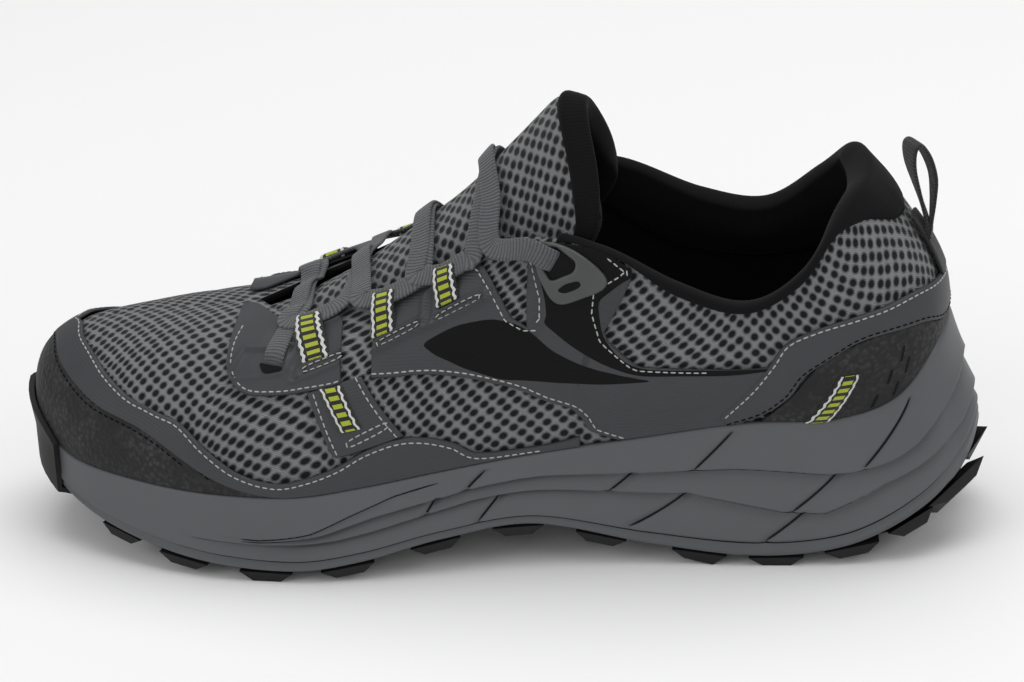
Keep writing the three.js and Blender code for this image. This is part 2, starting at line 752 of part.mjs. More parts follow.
const quarter = table(patchColumns, [
  [4.2, 0.03, 3.8, 0.42],
  [4.6, 0.02, 4.5, 0.46],
  [5.2, 0.02, 5.2, 0.46],
  [5.55, 0.14, 5.55, 0.56],
  [6.0, 0.27, 5.8, 0.68],
  [6.6, 0.36, 6.35, 0.6],
  [7.2, 0.43, 6.9, 0.63],
  [7.9, 0.48, 7.7, 0.59],
  [8.35, 0.5, 8.35, 0.53],
]);
const strapPatch = table(patchColumns, [
  [7.7, 0.18, 8.45, 0.455],
  [8.0, 0.18, 8.7, 0.46],
  [8.3, 0.19, 8.95, 0.46],
]);
const eyeletPlate = table(patchColumns, [
  [5.75, 0.76, 5.8, 0.9],
  [6.05, 0.72, 6.1, 0.93],
  [6.35, 0.78, 6.45, 0.94],
  [6.6, 0.86, 6.7, 0.93],
]);
const heelCounter = table(patchColumns, [
  [3.75, 0.06, 3.9, 0.12],
  [3.45, 0.22, 3.62, 0.46],
  [3.1, 0.37, 3.3, 0.585],
  [2.5, 0.395, 2.8, 0.57],
  [1.7, 0.3, 1.9, 0.43],
  [0.7, 0.09, 0.7, 0.26],
  [0, 0.05, 0, 0.22],
]);
const heelPatch = table(patchColumns, [
  [0.75, 0.02, 0.75, 0.07],
  [1.7, 0.02, 1.7, 0.27],
  [2.5, 0.02, 2.5, 0.365],
  [3.1, 0.02, 3.08, 0.34],
  [3.5, 0.02, 3.38, 0.19],
  [3.7, 0.02, 3.68, 0.05],
]);
const heelTape = table(patchColumns, [
  [0.2, 0.25, 0.2, 0.55],
  [0, 0.245, 0, 0.55],
]);
// Webbing on the second layer
const webbing = {
  lace_loop_1: table(patchColumns, [[8.95, 0.68, 9.42, 0.9], [9.2, 0.66, 9.7, 0.9]]),
  lace_loop_2: table(patchColumns, [[8.1, 0.71, 8.45, 0.91], [8.33, 0.7, 8.72, 0.91]]),
  lace_loop_3: table(patchColumns, [[7.48, 0.77, 7.85, 0.94], [7.72, 0.77, 8.1, 0.94]]),
  strap_webbing: table(patchColumns, [[8.05, 0.26, 8.52, 0.445], [8.28, 0.26, 8.78, 0.445]]),
  heel_webbing: table(patchColumns, [[3.08, 0.03, 2.58, 0.22], [3.36, 0.03, 2.8, 0.26]]),
};

const columnStep = 0.35; // widest column of a patch, in stations
const cellStep = 0.13; // tallest cell of a patch

// The turn of a station on one side
const turnOf = (at, side) => (side < 0 ? at / lastStation : 2 - at / lastStation);

// Rows of a patch on one side, with columns added between them
function patchRows(rows, side) {
  const out = [];
  rows.forEach((row, k) => {
    const next = rows[k + 1];
    const count = next ? Math.ceil(Math.abs(next.lowAt - row.lowAt) / columnStep) : 1;
    for (let i = 0; i < count; i += 1) {
      const value = (name) => (next ? lerp(row[name], next[name], i / count) : row[name]);
      out.push({ ...Object.fromEntries(patchColumns.map((name) => [name, value(name)])), side });
    }
  });
  return out;
}

// One side, or both sides joined at their last row
function patchGeometry(rows, sides, [inner, outer]) {
  const first = patchRows(rows, sides[0]);
  const list = sides.length > 1 ? [...first, ...patchRows(rows, sides[1]).reverse().slice(1)] : first;
  const cells = Math.max(1, ...list.map((row) => Math.round((row.high - row.low) / cellStep)));
  const point = (row, share, distance) => {
    const at = lerp(row.lowAt, row.highAt, share);
    return offsetSkin(turnOf(at, row.side), lerp(row.low, row.high, share), distance);
  };
  const shares = Array.from({ length: cells + 1 }, (_, k) => k / cells);
  const columns = list.map((row) => [
    ...shares.map((share) => point(row, share, inner)),
    ...[...shares].reverse().map((share) => point(row, share, outer)),
  ]);
  return closed([...gridSurface(columns, false, true), ...endFaces(columns)]);
}

// Padded collar: an inverted U of knit over the top of the upper. low and inside are the heights on
// the rib where it ends outside and inside, pad its thickness as a share of collarPad.
const collarPad = 6;
const collarSkin = 1.2;
const collarSeat = 0.015; // room over the top of the upper, on its rib
const collarRows = table(['at', 'low', 'inside', 'pad'], [
  [0, 0.6, 0.42, 2.0],
  [0.6, 0.64, 0.45, 1.9],
  [1.2, 0.78, 0.5, 1.5],
  [2, 0.89, 0.5, 1.05],
  [3, 0.895, 0.5, 0.9],
  [4, 0.89, 0.55, 0.9],
  [5, 0.9, 0.6, 0.7],
  [5.7, 0.955, 0.7, 0.3],
  [6.5, 0.96, 0.85, 0.1],
]);
const collarStep = 0.5;

function collarGeometry() {
  const last = collarRows.length - 1;
  const section = (station, side) => {
    const turn = turnOf(station, side);
    let k = 0;
    while (k < last - 1 && collarRows[k + 1].at < station) k += 1;
    const t = (station - collarRows[k].at) / (collarRows[k + 1].at - collarRows[k].at);
    const value = (name) => column(collarRows, name, k + t);
    const top = upperTop(turn) + collarSeat;
    const pad = value('pad') * collarPad;
    const behind = upperWall + gap + facetRoom;
    const low = value('low');
    const inside = value('inside');
    const at = (v, distance) => offsetSkin(turn, v, distance);
    return [
      at(low, gap),
      at(low, gap + collarSkin * 0.6),
      at(lerp(low, top, 0.5), gap + collarSkin),
      at(top, gap + collarSkin),
      at(0.995, gap),
      at(1.01, -upperWall),
      at(0.99, -behind - pad * 0.75),
      at(lerp(inside, 1, 0.85), -behind - pad * 0.95),
      at(lerp(inside, 1, 0.6), -behind - pad),
      at(lerp(inside, 1, 0.25), -behind - pad * 0.8),
      at(inside, -behind - pad * 0.25),
      at(inside, -behind),
      at(lerp(inside, top, 0.25), -behind),
      at(lerp(inside, top, 0.5), -behind),
      at(lerp(inside, top, 0.75), -behind),
      at(top, -behind),
      at(top, gap),
      at(lerp(low, top, 0.5), gap),
    ];
  };
  const end = collarRows[last].at;
  const count = Math.round(end / collarStep);
  const columns = [];
  for (let i = -count; i <= count; i += 1) {
    columns.push(section((Math.abs(i) / count) * end, i < 0 ? -1 : 1));
  }
  return closed([...gridSurface(columns, false, true), ...endFaces(columns)]);
}

// Pull loop: a tape folded into a teardrop behind the heel, drawn in the middle plane. back is the
// distance in front of the heel end and up the height, as shares of loopHeight from its foot.
const loopHeight = 31;
const loopFoot = 0.45; // height of its foot on the upper's rib
const loopWidth = 9;
const loopOutline = [
  [0.0, 0], [0.06, 0], [0.1, 0.25], [0.11, 0.55], [0.04, 0.82], [-0.09, 1], [-0.17, 0.96], [-0.17, 0.75],
  [-0.09, 0.4], [-0.02, 0.14],
];
const loopHole = [[0.03, 0.34], [0.065, 0.56], [0, 0.78], [-0.09, 0.94], [-0.125, 0.9], [-0.11, 0.7], [-0.04, 0.44]];

function loopGeometry() {
  const foot = offsetSkin(0, loopFoot, layerTwo[0]);
  const point = ([back, up]) => new THREE.Vector2(foot.x + back * loopHeight, foot.z + up * loopHeight);
  const spline = (list) => new THREE.Path(list.map(point));
  const shape = new THREE.Shape(loopOutline.map(point));
  shape.holes.push(spline(loopHole));
  const geometry = new THREE.ExtrudeGeometry(shape, { depth: loopWidth, bevelEnabled: false });
  geometry.translate(0, 0, -loopWidth / 2).rotateX(Math.PI / 2);
  geometry.deleteAttribute('normal');
  geometry.deleteAttribute('uv');
  return mergeVertices(geometry, weld);
}

// Lace: flat bars that cross over the tongue between the eyelets of both sides, joined as one
const laceWidth = 7;
const laceThickness = 1.3;
const laceClear = 2.4; // over the tongue and the eyestay
const loopClear = 1.45; // over the webbing loops
const eyelets = table(['at', 'v'], [
  [9.6, 0.64],
  [9.6, 0.9],
  [8.55, 0.88],
  [7.95, 0.93],
  [6.45, 0.9],
]);
const laceSteps = 6;

// Station of the tongue's table where its face has the given X at share b of its half width
function tongueStation(x, b) {
  let low = 0;
  let high = tongueRows.length - 1;
  for (let k = 0; k < 24; k += 1) {
    const middle = (low + high) / 2;
    if (tonguePoint(middle, b).x < x) low = middle;
    else high = middle;
  }
  return low;
}

// A place that a bar passes: over the tongue, and no lower than the eyestay edges beside it
function overTongue(x, b) {
  const station = tongueStation(x, b);
  const normal = tongueNormal(station, b);
  const point = tonguePoint(station, b).addScaledVector(normal, laceClear + laceThickness / 2);
  const edges = [crestLateral, crestMedial].map((rows) => valueAlong(rows, 'rise', alongOf(x)) * collarHeight);
  point.z = Math.max(point.z, Math.max(...edges) + laceClear + laceThickness / 2);
  return { point, normal };
}

const crossShares = [0.3, 0.5, 0.7]; // where a bar is over the tongue, on its way across
const edgeHeight = 0.99; // where it passes the eyestay edge, on the upper's rib

function laceBar(from, to, side) {
  const lift = layerTwo[1] + loopClear + laceThickness / 2;
  const on = (at, v, way) => {
    const turn = turnOf(at, way);
    return { point: offsetSkin(turn, v, lift), normal: skinNormal(turn, v) };
  };
  const start = on(from.at, from.v, side);
  const finish = on(to.at, to.v, -side);
  const over = crossShares.map((share) => overTongue(lerp(start.point.x, finish.point.x, share), side * (1 - 2 * share)));
  const leave = on(lerp(from.at, to.at, 0.1), edgeHeight, side);
  const arrive = on(lerp(to.at, from.at, 0.1), edgeHeight, -side);
  const stops = [start, leave, ...over, arrive, finish];
  const path = new THREE.CatmullRomCurve3(stops.map((stop) => stop.point));
  const rows = [];
  for (let k = 0; k <= laceSteps; k += 1) {
    const s = (k / laceSteps) * (stops.length - 1);
    const i = Math.min(Math.floor(s), stops.length - 2);
    const p = path.getPoint(k / laceSteps);
    const along = path.getTangent(k / laceSteps);
    const up = stops[i].normal.clone().lerp(stops[i + 1].normal, s - i);
    up.addScaledVector(along, -up.dot(along)).setLength(laceThickness / 2);
    const across = new THREE.Vector3().crossVectors(along, up).setLength(laceWidth / 2);
    const corner = (a, b) => p.clone().addScaledVector(across, a).addScaledVector(up, b);
    rows.push([corner(-1, -1), corner(1, -1), corner(1, 1), corner(-1, 1)]);
  }
  return closed([...gridSurface(rows, false, true), ...endFaces(rows)]);
}

function laceGeometry() {
  let solid = null;
  for (let k = 0; k < eyelets.length - 1; k += 1) {
    for (const side of [-1, 1]) {
      const bar = toSolid(laceBar(eyelets[k], eyelets[k + 1], side));
      solid = solid ? solid.add(bar) : bar;
    }
  }
  return toGeometry(solid);
}

// The assembly
const shoe = new THREE.Group();
function piece(name, geometry, colour, roughness) {
  const material = new THREE.MeshStandardMaterial({ color: colour, roughness, metalness: 0 });
  const mesh = new THREE.Mesh(geometry, material);
  mesh.name = name;
  shoe.add(mesh);
}

piece('outsole', outsoleGeometry(), 0x1d1d1f, 0.8);
piece('midsole', midsoleGeometry(), 0x4c4f52, 0.55);
piece('insole', insoleGeometry(), 0x1b1b1d, 0.9);
piece('upper', upperGeometry(), 0x4a4a4a, 0.85);
piece('tongue', tongueGeometry(), 0x4a4a4a, 0.85);
piece('collar', collarGeometry(), 0x141415, 0.95);

// Overlays round the toe and heel, then those of each side
const both = [-1, 1];
piece('toe_cap', patchGeometry(toeCap, both, layerOne), 0x1c1c1e, 0.9);
piece('toe_trim', patchGeometry(toeTrim, both, layerOne), 0x46484a, 0.6);
piece('heel_counter', patchGeometry(heelCounter, both, layerOne), 0x46484a, 0.6);
piece('heel_tape', patchGeometry(heelTape, both, layerOne), 0x18181a, 0.9);
for (const [name, side] of [['lateral', -1], ['medial', 1]]) {
  piece(`front_eyestay_${name}`, patchGeometry(frontEyestay, [side], layerOne), 0x46484a, 0.6);
  piece(`eyestay_${name}`, patchGeometry(eyestay, [side], layerOne), 0x46484a, 0.6);
  piece(`quarter_overlay_${name}`, patchGeometry(quarter, [side], layerOne), 0x3a3c3e, 0.6);
  piece(`strap_patch_${name}`, patchGeometry(strapPatch, [side], layerOne), 0x46484a, 0.6);
  piece(`eyelet_plate_${name}`, patchGeometry(eyeletPlate, [side], layerOne), 0x565a58, 0.5);
  piece(`heel_patch_${name}`, patchGeometry(heelPatch, [side], layerOne), 0x1c1c1e, 0.9);
  for (const [kind, rows] of Object.entries(webbing)) {
    piece(`${kind}_${name}`, patchGeometry(rows, [side], layerTwo), 0x8a9a2a, 0.8);
  }
}
piece('pull_loop', loopGeometry(), 0x18181a, 0.9);
piece('lace', laceGeometry(), 0x505050, 0.85);

// The origin is on the ground under the middle of the shoe's box
const box = new THREE.Box3().setFromObject(shoe);
const middle = box.getCenter(new THREE.Vector3());
shoe.position.set(-middle.x, -middle.y, -box.min.z);

export default shoe;
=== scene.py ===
"""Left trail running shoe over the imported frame: hollow mesh upper with film, suede and webbing
overlays, padded knit collar, mesh tongue, flat laces, moulded foam midsole and lugged rubber outsole.

The surfaces are worked out in millimetres on the same last as the solids, and put into the frame
in metres. The outer side faces -Y, the toe points to -X, and the ground is at z 0."""
import math
import bmesh
import bpy
import numpy as np
from mathutils import Matrix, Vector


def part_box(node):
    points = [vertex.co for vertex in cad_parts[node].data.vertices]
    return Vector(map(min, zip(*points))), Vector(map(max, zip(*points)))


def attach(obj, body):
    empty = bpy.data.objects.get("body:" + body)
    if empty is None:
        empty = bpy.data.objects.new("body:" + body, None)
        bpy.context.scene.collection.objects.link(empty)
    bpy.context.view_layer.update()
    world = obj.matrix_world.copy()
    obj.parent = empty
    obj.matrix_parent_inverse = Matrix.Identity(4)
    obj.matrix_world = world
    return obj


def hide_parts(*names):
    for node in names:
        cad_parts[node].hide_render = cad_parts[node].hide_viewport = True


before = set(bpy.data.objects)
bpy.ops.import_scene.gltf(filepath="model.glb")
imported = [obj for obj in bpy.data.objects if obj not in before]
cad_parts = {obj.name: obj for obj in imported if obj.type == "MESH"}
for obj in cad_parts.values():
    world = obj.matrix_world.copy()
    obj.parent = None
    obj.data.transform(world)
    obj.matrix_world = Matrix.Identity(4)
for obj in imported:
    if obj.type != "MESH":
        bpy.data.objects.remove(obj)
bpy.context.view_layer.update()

# Camera and studio: a tabletop product shot from above the outer side, rolled a little.
# The floor is a pale sweep of paper, lit by a large overhead soft box and two side ones.
LOOK_AT = np.array([2.0, 2.3, 59.0])
AZIMUTH = math.radians(10)
ELEVATION = math.radians(24)
ROLL = math.radians(4)
DISTANCE = 1400.0
PHOTO_WIDTH = 1024
PIXELS_PER_MM = 3.19
SHIFT_RIGHT = 3.45
PAPER = "#f4f4f4"
PAPER_SIZE = 6.0
SKY = 0.4


def linear(colour):
    """An sRGB hex colour as linear RGBA: each channel is undone from the sRGB curve."""
    parts = [int(colour[i:i + 2], 16) / 255 for i in (1, 3, 5)]
    return [p / 12.92 if p <= 0.04045 else ((p + 0.055) / 1.055) ** 2.4 for p in parts] + [1.0]


def add(tree, kind, inputs=(), **settings):
    """Adds a node, sets its properties, then its inputs: a socket is linked, a value is set."""
    node = tree.nodes.new("ShaderNode" + kind)
    for name, value in settings.items():
        setattr(node, name, value)
    for key, value in dict(inputs).items():
        if isinstance(value, bpy.types.NodeSocket):
            tree.links.new(value, node.inputs[key])
        else:
            node.inputs[key].default_value = value
    return node


def placed(name, data):
    """An object of a mesh, a lamp or a camera, linked to the scene."""
    thing = bpy.data.objects.new(name, data)
    bpy.context.collection.objects.link(thing)
    return thing


def finish_of(name, **sockets):
    """A new material and its tree, with the given constants on its shader's sockets."""
    material = bpy.data.materials.new(name)
    material.use_nodes = True
    shader = material.node_tree.nodes["Principled BSDF"]
    for key, value in sockets.items():
        shader.inputs[key.replace("_", " ")].default_value = value
    return material, material.node_tree


def wired(material, **outputs):
    """The material, with outputs of its nodes linked to its shader's sockets."""
    tree = material.node_tree
    for key, output in outputs.items():
        tree.links.new(output, tree.nodes["Principled BSDF"].inputs[key.replace("_", " ")])
    return material


away = np.array([math.sin(AZIMUTH), -math.cos(AZIMUTH), math.tan(ELEVATION)]) * math.cos(ELEVATION)
level = np.array([math.cos(AZIMUTH), math.sin(AZIMUTH), 0.0])
raised = np.cross(away, level)
screen_right = math.cos(ROLL) * level - math.sin(ROLL) * raised
screen_up = math.sin(ROLL) * level + math.cos(ROLL) * raised
camera_data = bpy.data.cameras.new("camera")
camera_data.sensor_width = 36
camera_data.lens = PIXELS_PER_MM * DISTANCE / PHOTO_WIDTH * camera_data.sensor_width
camera = placed("camera", camera_data)
pose = np.eye(4)
pose[:3, :3] = np.stack([screen_right, screen_up, away], 1)
pose[:3, 3] = (LOOK_AT + SHIFT_RIGHT * screen_right + DISTANCE * away) / 1000
camera.matrix_world = Matrix(pose.tolist())
bpy.context.scene.camera = camera

# Each soft box: (name, place in metres, size, watts), all aimed at the shoe
SOFT_BOXES = [
    ("overhead", (0.1, 0.3, 1.5), 1.6, 16),
    ("front_left", (-1.3, -1.0, 0.9), 0.9, 6),
    ("heel_side", (1.3, -0.5, 0.8), 0.8, 4),
    ("camera_side", (0.2, -1.7, 0.7), 1.0, 3),
]
for name, seat, size, watts in SOFT_BOXES:
    lamp = bpy.data.lights.new(name, "AREA")
    lamp.size = size
    lamp.energy = watts
    holder = placed(name, lamp)
    aim = np.array(seat) - LOOK_AT / 1000
    tilt = math.acos(aim[2] / np.linalg.norm(aim))
    bearing = math.atan2(aim[1], aim[0]) + math.pi / 2
    holder.rotation_euler = (tilt, 0, bearing)
    holder.location = seat
world = bpy.data.worlds.new("studio")
world.use_nodes = True
sky = world.node_tree.nodes["Background"].inputs
sky["Color"].default_value = linear("#ffffff")
sky["Strength"].default_value = SKY
bpy.context.scene.world = world
bpy.context.scene.view_settings.view_transform = "Standard"

half = PAPER_SIZE / 2
paper_corners = [(-half, -half, 0), (half, -half, 0), (half, half, 0), (-half, half, 0)]
paper_mesh = bpy.data.meshes.new("paper")
paper_mesh.from_pydata(paper_corners, [], [(0, 1, 2, 3)])
paper = placed("paper", paper_mesh)
paper_finish, _ = finish_of("matt_paper", Base_Color=linear(PAPER), Roughness=0.9)
paper_mesh.materials.append(paper_finish)

# The last: the foot form that every piece of the upper and the sole is cut and lasted over.
# A station runs from the middle of the heel back (0) to the toe tip (14). A turn of 0 to 1 goes
# round the outer side from heel to toe, 1 to 2 back along the inner side. Lengths are in mm.
LENGTH = 304.0
BALL = 104.0
RIM_HEIGHT = 48.0
ARCH_LIFT = 18.0
BED_HEIGHT = 30.0
COLLAR_HEIGHT = 121.0
TONGUE_HEIGHT = 140.5
LUG_HEIGHT = 3.7
RIM_WALL = 1.8
UPPER_WALL = 2.2
GAP = 0.3
LAST_STATION = 14
THROAT = 11
NEARBY = 0.004
MIDDLE_ENDS = (0.11, 0.86)

# Rows of (share of the length from the heel, share of the ball width from the middle, rise as a
# share of the height named in the ring that reads them)
BOTTOM_OUTER = np.array([
    (0.008, 0.0, 1.75), (0.02, 0.17, 1.4), (0.06, 0.3, 0.84), (0.135, 0.36, 0.2), (0.23, 0.375, 0.0),
    (0.34, 0.37, 0.21), (0.455, 0.39, 0.63), (0.548, 0.445, 0.47), (0.63, 0.498, 0.17), (0.7, 0.515, 0.02),
    (0.79, 0.485, 0.1), (0.87, 0.405, 0.33), (0.935, 0.3, 0.68), (0.98, 0.15, 1.05), (0.996, -0.04, 1.2)])
BOTTOM_INNER = np.array([
    (0.008, 0.0, 1.75), (0.02, 0.17, 1.4), (0.06, 0.295, 0.84), (0.135, 0.35, 0.2), (0.23, 0.355, 0.0),
    (0.34, 0.325, 0.21), (0.455, 0.32, 0.6), (0.548, 0.365, 0.47), (0.63, 0.43, 0.18), (0.705, 0.47, 0.02),
    (0.795, 0.46, 0.1), (0.875, 0.41, 0.33), (0.94, 0.325, 0.68), (0.983, 0.2, 1.05), (0.996, 0.04, 1.2)])
RIM_OUTER = np.array([
    (0.038, 0.0, 1.45), (0.048, 0.16, 1.36), (0.086, 0.265, 1.1), (0.148, 0.33, 1.005),
    (0.238, 0.345, 0.99), (0.348, 0.35, 0.885), (0.458, 0.382, 0.8), (0.548, 0.432, 0.725),
    (0.628, 0.475, 0.65), (0.698, 0.488, 0.592), (0.788, 0.458, 0.585), (0.87, 0.375, 0.597),
    (0.938, 0.265, 0.625), (0.983, 0.115, 0.68), (0.997, -0.04, 0.71)])
RIM_INNER = np.array([
    (0.038, 0.0, 1.45), (0.048, 0.16, 1.36), (0.086, 0.265, 1.1), (0.148, 0.325, 1.01), (0.238, 0.33, 1.0),
    (0.348, 0.31, 0.92), (0.458, 0.31, 0.85), (0.548, 0.35, 0.77), (0.628, 0.408, 0.68),
    (0.706, 0.443, 0.61), (0.796, 0.432, 0.6), (0.875, 0.378, 0.61), (0.943, 0.288, 0.635),
    (0.985, 0.165, 0.68), (0.997, 0.04, 0.71)])
CREST_OUTER = np.array([
    (0.13, 0.0, 0.985), (0.134, 0.135, 0.975), (0.148, 0.245, 0.915), (0.178, 0.31, 0.805),
    (0.231, 0.335, 0.733), (0.298, 0.325, 0.785), (0.38, 0.28, 0.88), (0.455, 0.225, 0.862),
    (0.535, 0.19, 0.77), (0.62, 0.16, 0.685), (0.7, 0.125, 0.61)])
CREST_INNER = np.array([
    (0.13, 0.0, 0.985), (0.132, 0.14, 0.985), (0.143, 0.25, 0.965), (0.175, 0.305, 0.885),
    (0.231, 0.325, 0.79), (0.298, 0.315, 0.82), (0.38, 0.275, 0.92), (0.455, 0.235, 0.92),
    (0.535, 0.205, 0.79), (0.62, 0.175, 0.7), (0.7, 0.145, 0.62)])
RIDGE = np.array([(0.752, 0.02, 0.598), (0.82, 0.03, 0.577), (0.88, 0.035, 0.56), (0.92, 0.04, 0.538)])
# Columns: wall up, wall out, crown drop, crown out, top out
RIB = np.array([
    (0.4, 0.03, 0.2, 0.0, 0.11), (0.4, 0.03, 0.22, 0.0, 0.1), (0.4, 0.03, 0.26, 0.0, 0.075),
    (0.4, 0.035, 0.32, 0.0, 0.05), (0.4, 0.035, 0.33, 0.0, 0.035), (0.4, 0.03, 0.33, 0.1, 0.05),
    (0.42, 0.025, 0.33, 0.3, 0.04), (0.44, 0.02, 0.32, 0.42, 0.02), (0.46, 0.02, 0.28, 0.5, 0.0),
    (0.5, 0.02, 0.22, 0.55, 0.0), (0.54, 0.02, 0.14, 0.58, 0.0), (0.58, 0.025, 0.0, 0.62, 0.0),
    (0.6, 0.035, 0.0, 0.62, 0.0), (0.6, 0.055, 0.0, 0.62, 0.0), (0.6, 0.065, 0.0, 0.62, 0.0)])
# Columns: share of the length, base of the sole, footbed
SPINE = np.array([
    (0.0, 1.9, 1.1), (0.035, 0.75, 1.08), (0.08, 0.12, 1.05), (0.14, 0.0, 1.02), (0.24, 0.0, 1.0),
    (0.34, 0.2, 0.98), (0.45, 0.5, 0.95), (0.55, 0.42, 0.86), (0.64, 0.1, 0.76), (0.72, 0.0, 0.71),
    (0.8, 0.06, 0.71), (0.88, 0.33, 0.76), (0.95, 0.72, 0.87), (1.0, 1.15, 1.0)])


def through(rows, s):
    """Rows blended at row number s: a Catmull-Rom cubic through the four rows around it."""
    s = np.asarray(s, float)
    k = np.clip(np.floor(s).astype(int), 0, len(rows) - 2)
    a, b, c, d = (rows[np.clip(k + i, 0, len(rows) - 1)] for i in (-1, 0, 1, 2))
    t = (s - k)[..., None]
    cubic = 3 * b - a - 3 * c + d
    return 0.5 * (2 * b + (c - a) * t + (2 * a - 5 * b + 4 * c - d) * t**2 + cubic * t**3)


def column_along(rows, name, along):
    """Column of a table at a share of the length: its first column is inverted, then blended."""
    s = np.clip(np.interp(along, rows[:, 0], np.arange(len(rows))), 0, len(rows) - 1)
    return through(rows, s)[..., name]


def place_on(turn):
    """(side, station) of a turn: -1 is the outer side, 1 the inner."""
    t = np.mod(turn, 2)
    return np.where(t <= 1, -1, 1), np.where(t <= 1, t, 2 - t) * LAST_STATION


def in_mm(rows, side, height):
    """Rows of (along, out, rise) as points: x toward the heel, y out on that side, z up."""
    return np.stack([LENGTH * (0.5 - rows[:, 0]), side * rows[:, 1] * BALL, height(rows[:, 2])], 1)


def ring(outer, inner, height, turn):
    """Closed ring through the outer rows and then the inner rows back, at a turn."""
    points = np.vstack([in_mm(outer, -1, height), in_mm(inner[1:-1][::-1], 1, height)])
    n = len(points)
    s = np.mod(np.asarray(turn, float) * n / 2, n)
    return through(np.vstack([points[-1:], points, points[:3]]), s + 1)


def bottom_ring(turn):
    """Bottom edge of the midsole."""
    return ring(BOTTOM_OUTER, BOTTOM_INNER, lambda rise: LUG_HEIGHT + rise * ARCH_LIFT, turn)


def rim_ring(turn):
    """Top edge of the midsole, which the upper is glued into."""
    return ring(RIM_OUTER, RIM_INNER, lambda rise: rise * RIM_HEIGHT, turn)


def crest(turn):
    """Collar crest and eyestay edge up to the throat, then the ridge of the vamp."""
    side, station = place_on(turn)
    out = np.empty(np.shape(station) + (3,))
    ridge = in_mm(RIDGE, 1, lambda rise: rise * COLLAR_HEIGHT)
    for way, rows, other in ((-1, CREST_OUTER, CREST_INNER), (1, CREST_INNER, CREST_OUTER)):
        edge = in_mm(rows, way, lambda rise: rise * COLLAR_HEIGHT)
        mirrored = in_mm(other[1:2], -way, lambda rise: rise * COLLAR_HEIGHT)
        back = np.vstack([mirrored, edge, ridge[:1], 2 * ridge[:1] - edge[-1:]])
        front = np.vstack([2 * ridge[:1] - ridge[1:2], ridge, 2 * ridge[-1:] - ridge[-2:-1]])
        here = side == way
        out[here & (station <= THROAT)] = through(back, station[here & (station <= THROAT)] + 1)
        out[here & (station > THROAT)] = through(front, station[here & (station > THROAT)] - THROAT + 1)
    return out


def unit(vectors):
    """Vectors scaled to length one."""
    return vectors / np.linalg.norm(vectors, axis=-1, keepdims=True)


def outward(turn):
    """Level direction out of the rim."""
    step = rim_ring(turn + NEARBY) - rim_ring(turn - NEARBY)
    return unit(np.stack([-step[..., 1], step[..., 0], np.zeros_like(step[..., 0])], -1))


def skin(turn, v):
    """Outer face of the upper: a cubic Bezier rib from the rim (v 0) to the crest (v 1)."""
    turn, v = np.broadcast_arrays(np.asarray(turn, float), np.asarray(v, float))
    side, station = place_on(turn)
    wall_up, wall_out, crown_drop, crown_out, top_out = np.moveaxis(through(RIB, station), -1, 0)[..., None]
    n = outward(turn)
    foot = rim_ring(turn) - (RIM_WALL + GAP) * n
    top = crest(turn)
    up = np.array([0.0, 0.0, 1.0])
    rise = (top - foot)[..., 2:3]
    wall = foot + n * wall_out * BALL + up * wall_up * rise
    reach = (foot - top) * np.array([1.0, 1.0, 0.0])
    crown = top + reach * crown_out + n * top_out * BALL - up * crown_drop * rise
    t = v[..., None]
    return foot * (1 - t) ** 3 + 3 * wall * t * (1 - t) ** 2 + 3 * crown * t**2 * (1 - t) + top * t**3


def skin_normal(turn, v):
    """Direction out of the upper, square to the steps round it and up it."""
    turn, v = np.broadcast_arrays(np.asarray(turn, float), np.asarray(v, float))
    w = np.clip(v, NEARBY, 1 - 4 * NEARBY)
    around = skin(turn + NEARBY, w) - skin(turn - NEARBY, w)
    up = skin(turn, w + NEARBY) - skin(turn, w - NEARBY)
    return unit(np.cross(up, around))


def middle_line(turn):
    """x of the sole's middle line beside a turn, held between two shares of the length so that the
    levels close short of the heel and the toe."""
    station = place_on(turn)[1]
    along = (through(RIM_OUTER, station)[..., 0] + through(RIM_INNER, station)[..., 0]) / 2
    return LENGTH * (0.5 - np.clip(along, *MIDDLE_ENDS))


def bed_point(turn, inset, height, q):
    """Footbed level curve: the rim moved inwards by inset, and by q toward the middle line."""
    p = rim_ring(turn) - inset * outward(turn)
    x = p[..., 0] * (1 - q) + middle_line(turn) * q
    z = BED_HEIGHT * column_along(SPINE, 2, 0.5 - x / LENGTH) + height
    return np.stack([x, p[..., 1] * (1 - q), z], -1)


# The frame's origin is under the middle of the shoe's box, so the last is moved there: the packed
# insole's corner shows by how much
FOOT_TUCK = 1.2
INSOLE_INSET = RIM_WALL + GAP + FOOT_TUCK + UPPER_WALL + 0.8
insole_edge = bed_point(np.arange(2 * LAST_STATION) / LAST_STATION, INSOLE_INSET, 0, 0)
origin = np.append(np.array(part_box("insole")[0][:2]) * 1000 - insole_edge[:, :2].min(0), 0)

# Soft troughs of the flex zone: (turn, v, width along, width up, depth in mm, slant)
TROUGHS = [
    (0.70, 0.83, 0.012, 0.16, 0.9, 0.05), (0.665, 0.55, 0.011, 0.16, 0.6, 0.02),
    (0.745, 0.62, 0.016, 0.2, 0.6, 0.03), (1.30, 0.80, 0.012, 0.18, 0.9, -0.05),
    (1.345, 0.5, 0.012, 0.18, 0.6, -0.02), (0.30, 0.75, 0.03, 0.1, 0.5, 0.0),
    (1.70, 0.7, 0.03, 0.12, 0.6, 0.0), (0.17, 0.72, 0.02, 0.12, 0.5, 0.04),
    (1.83, 0.72, 0.02, 0.12, 0.5, -0.04)]


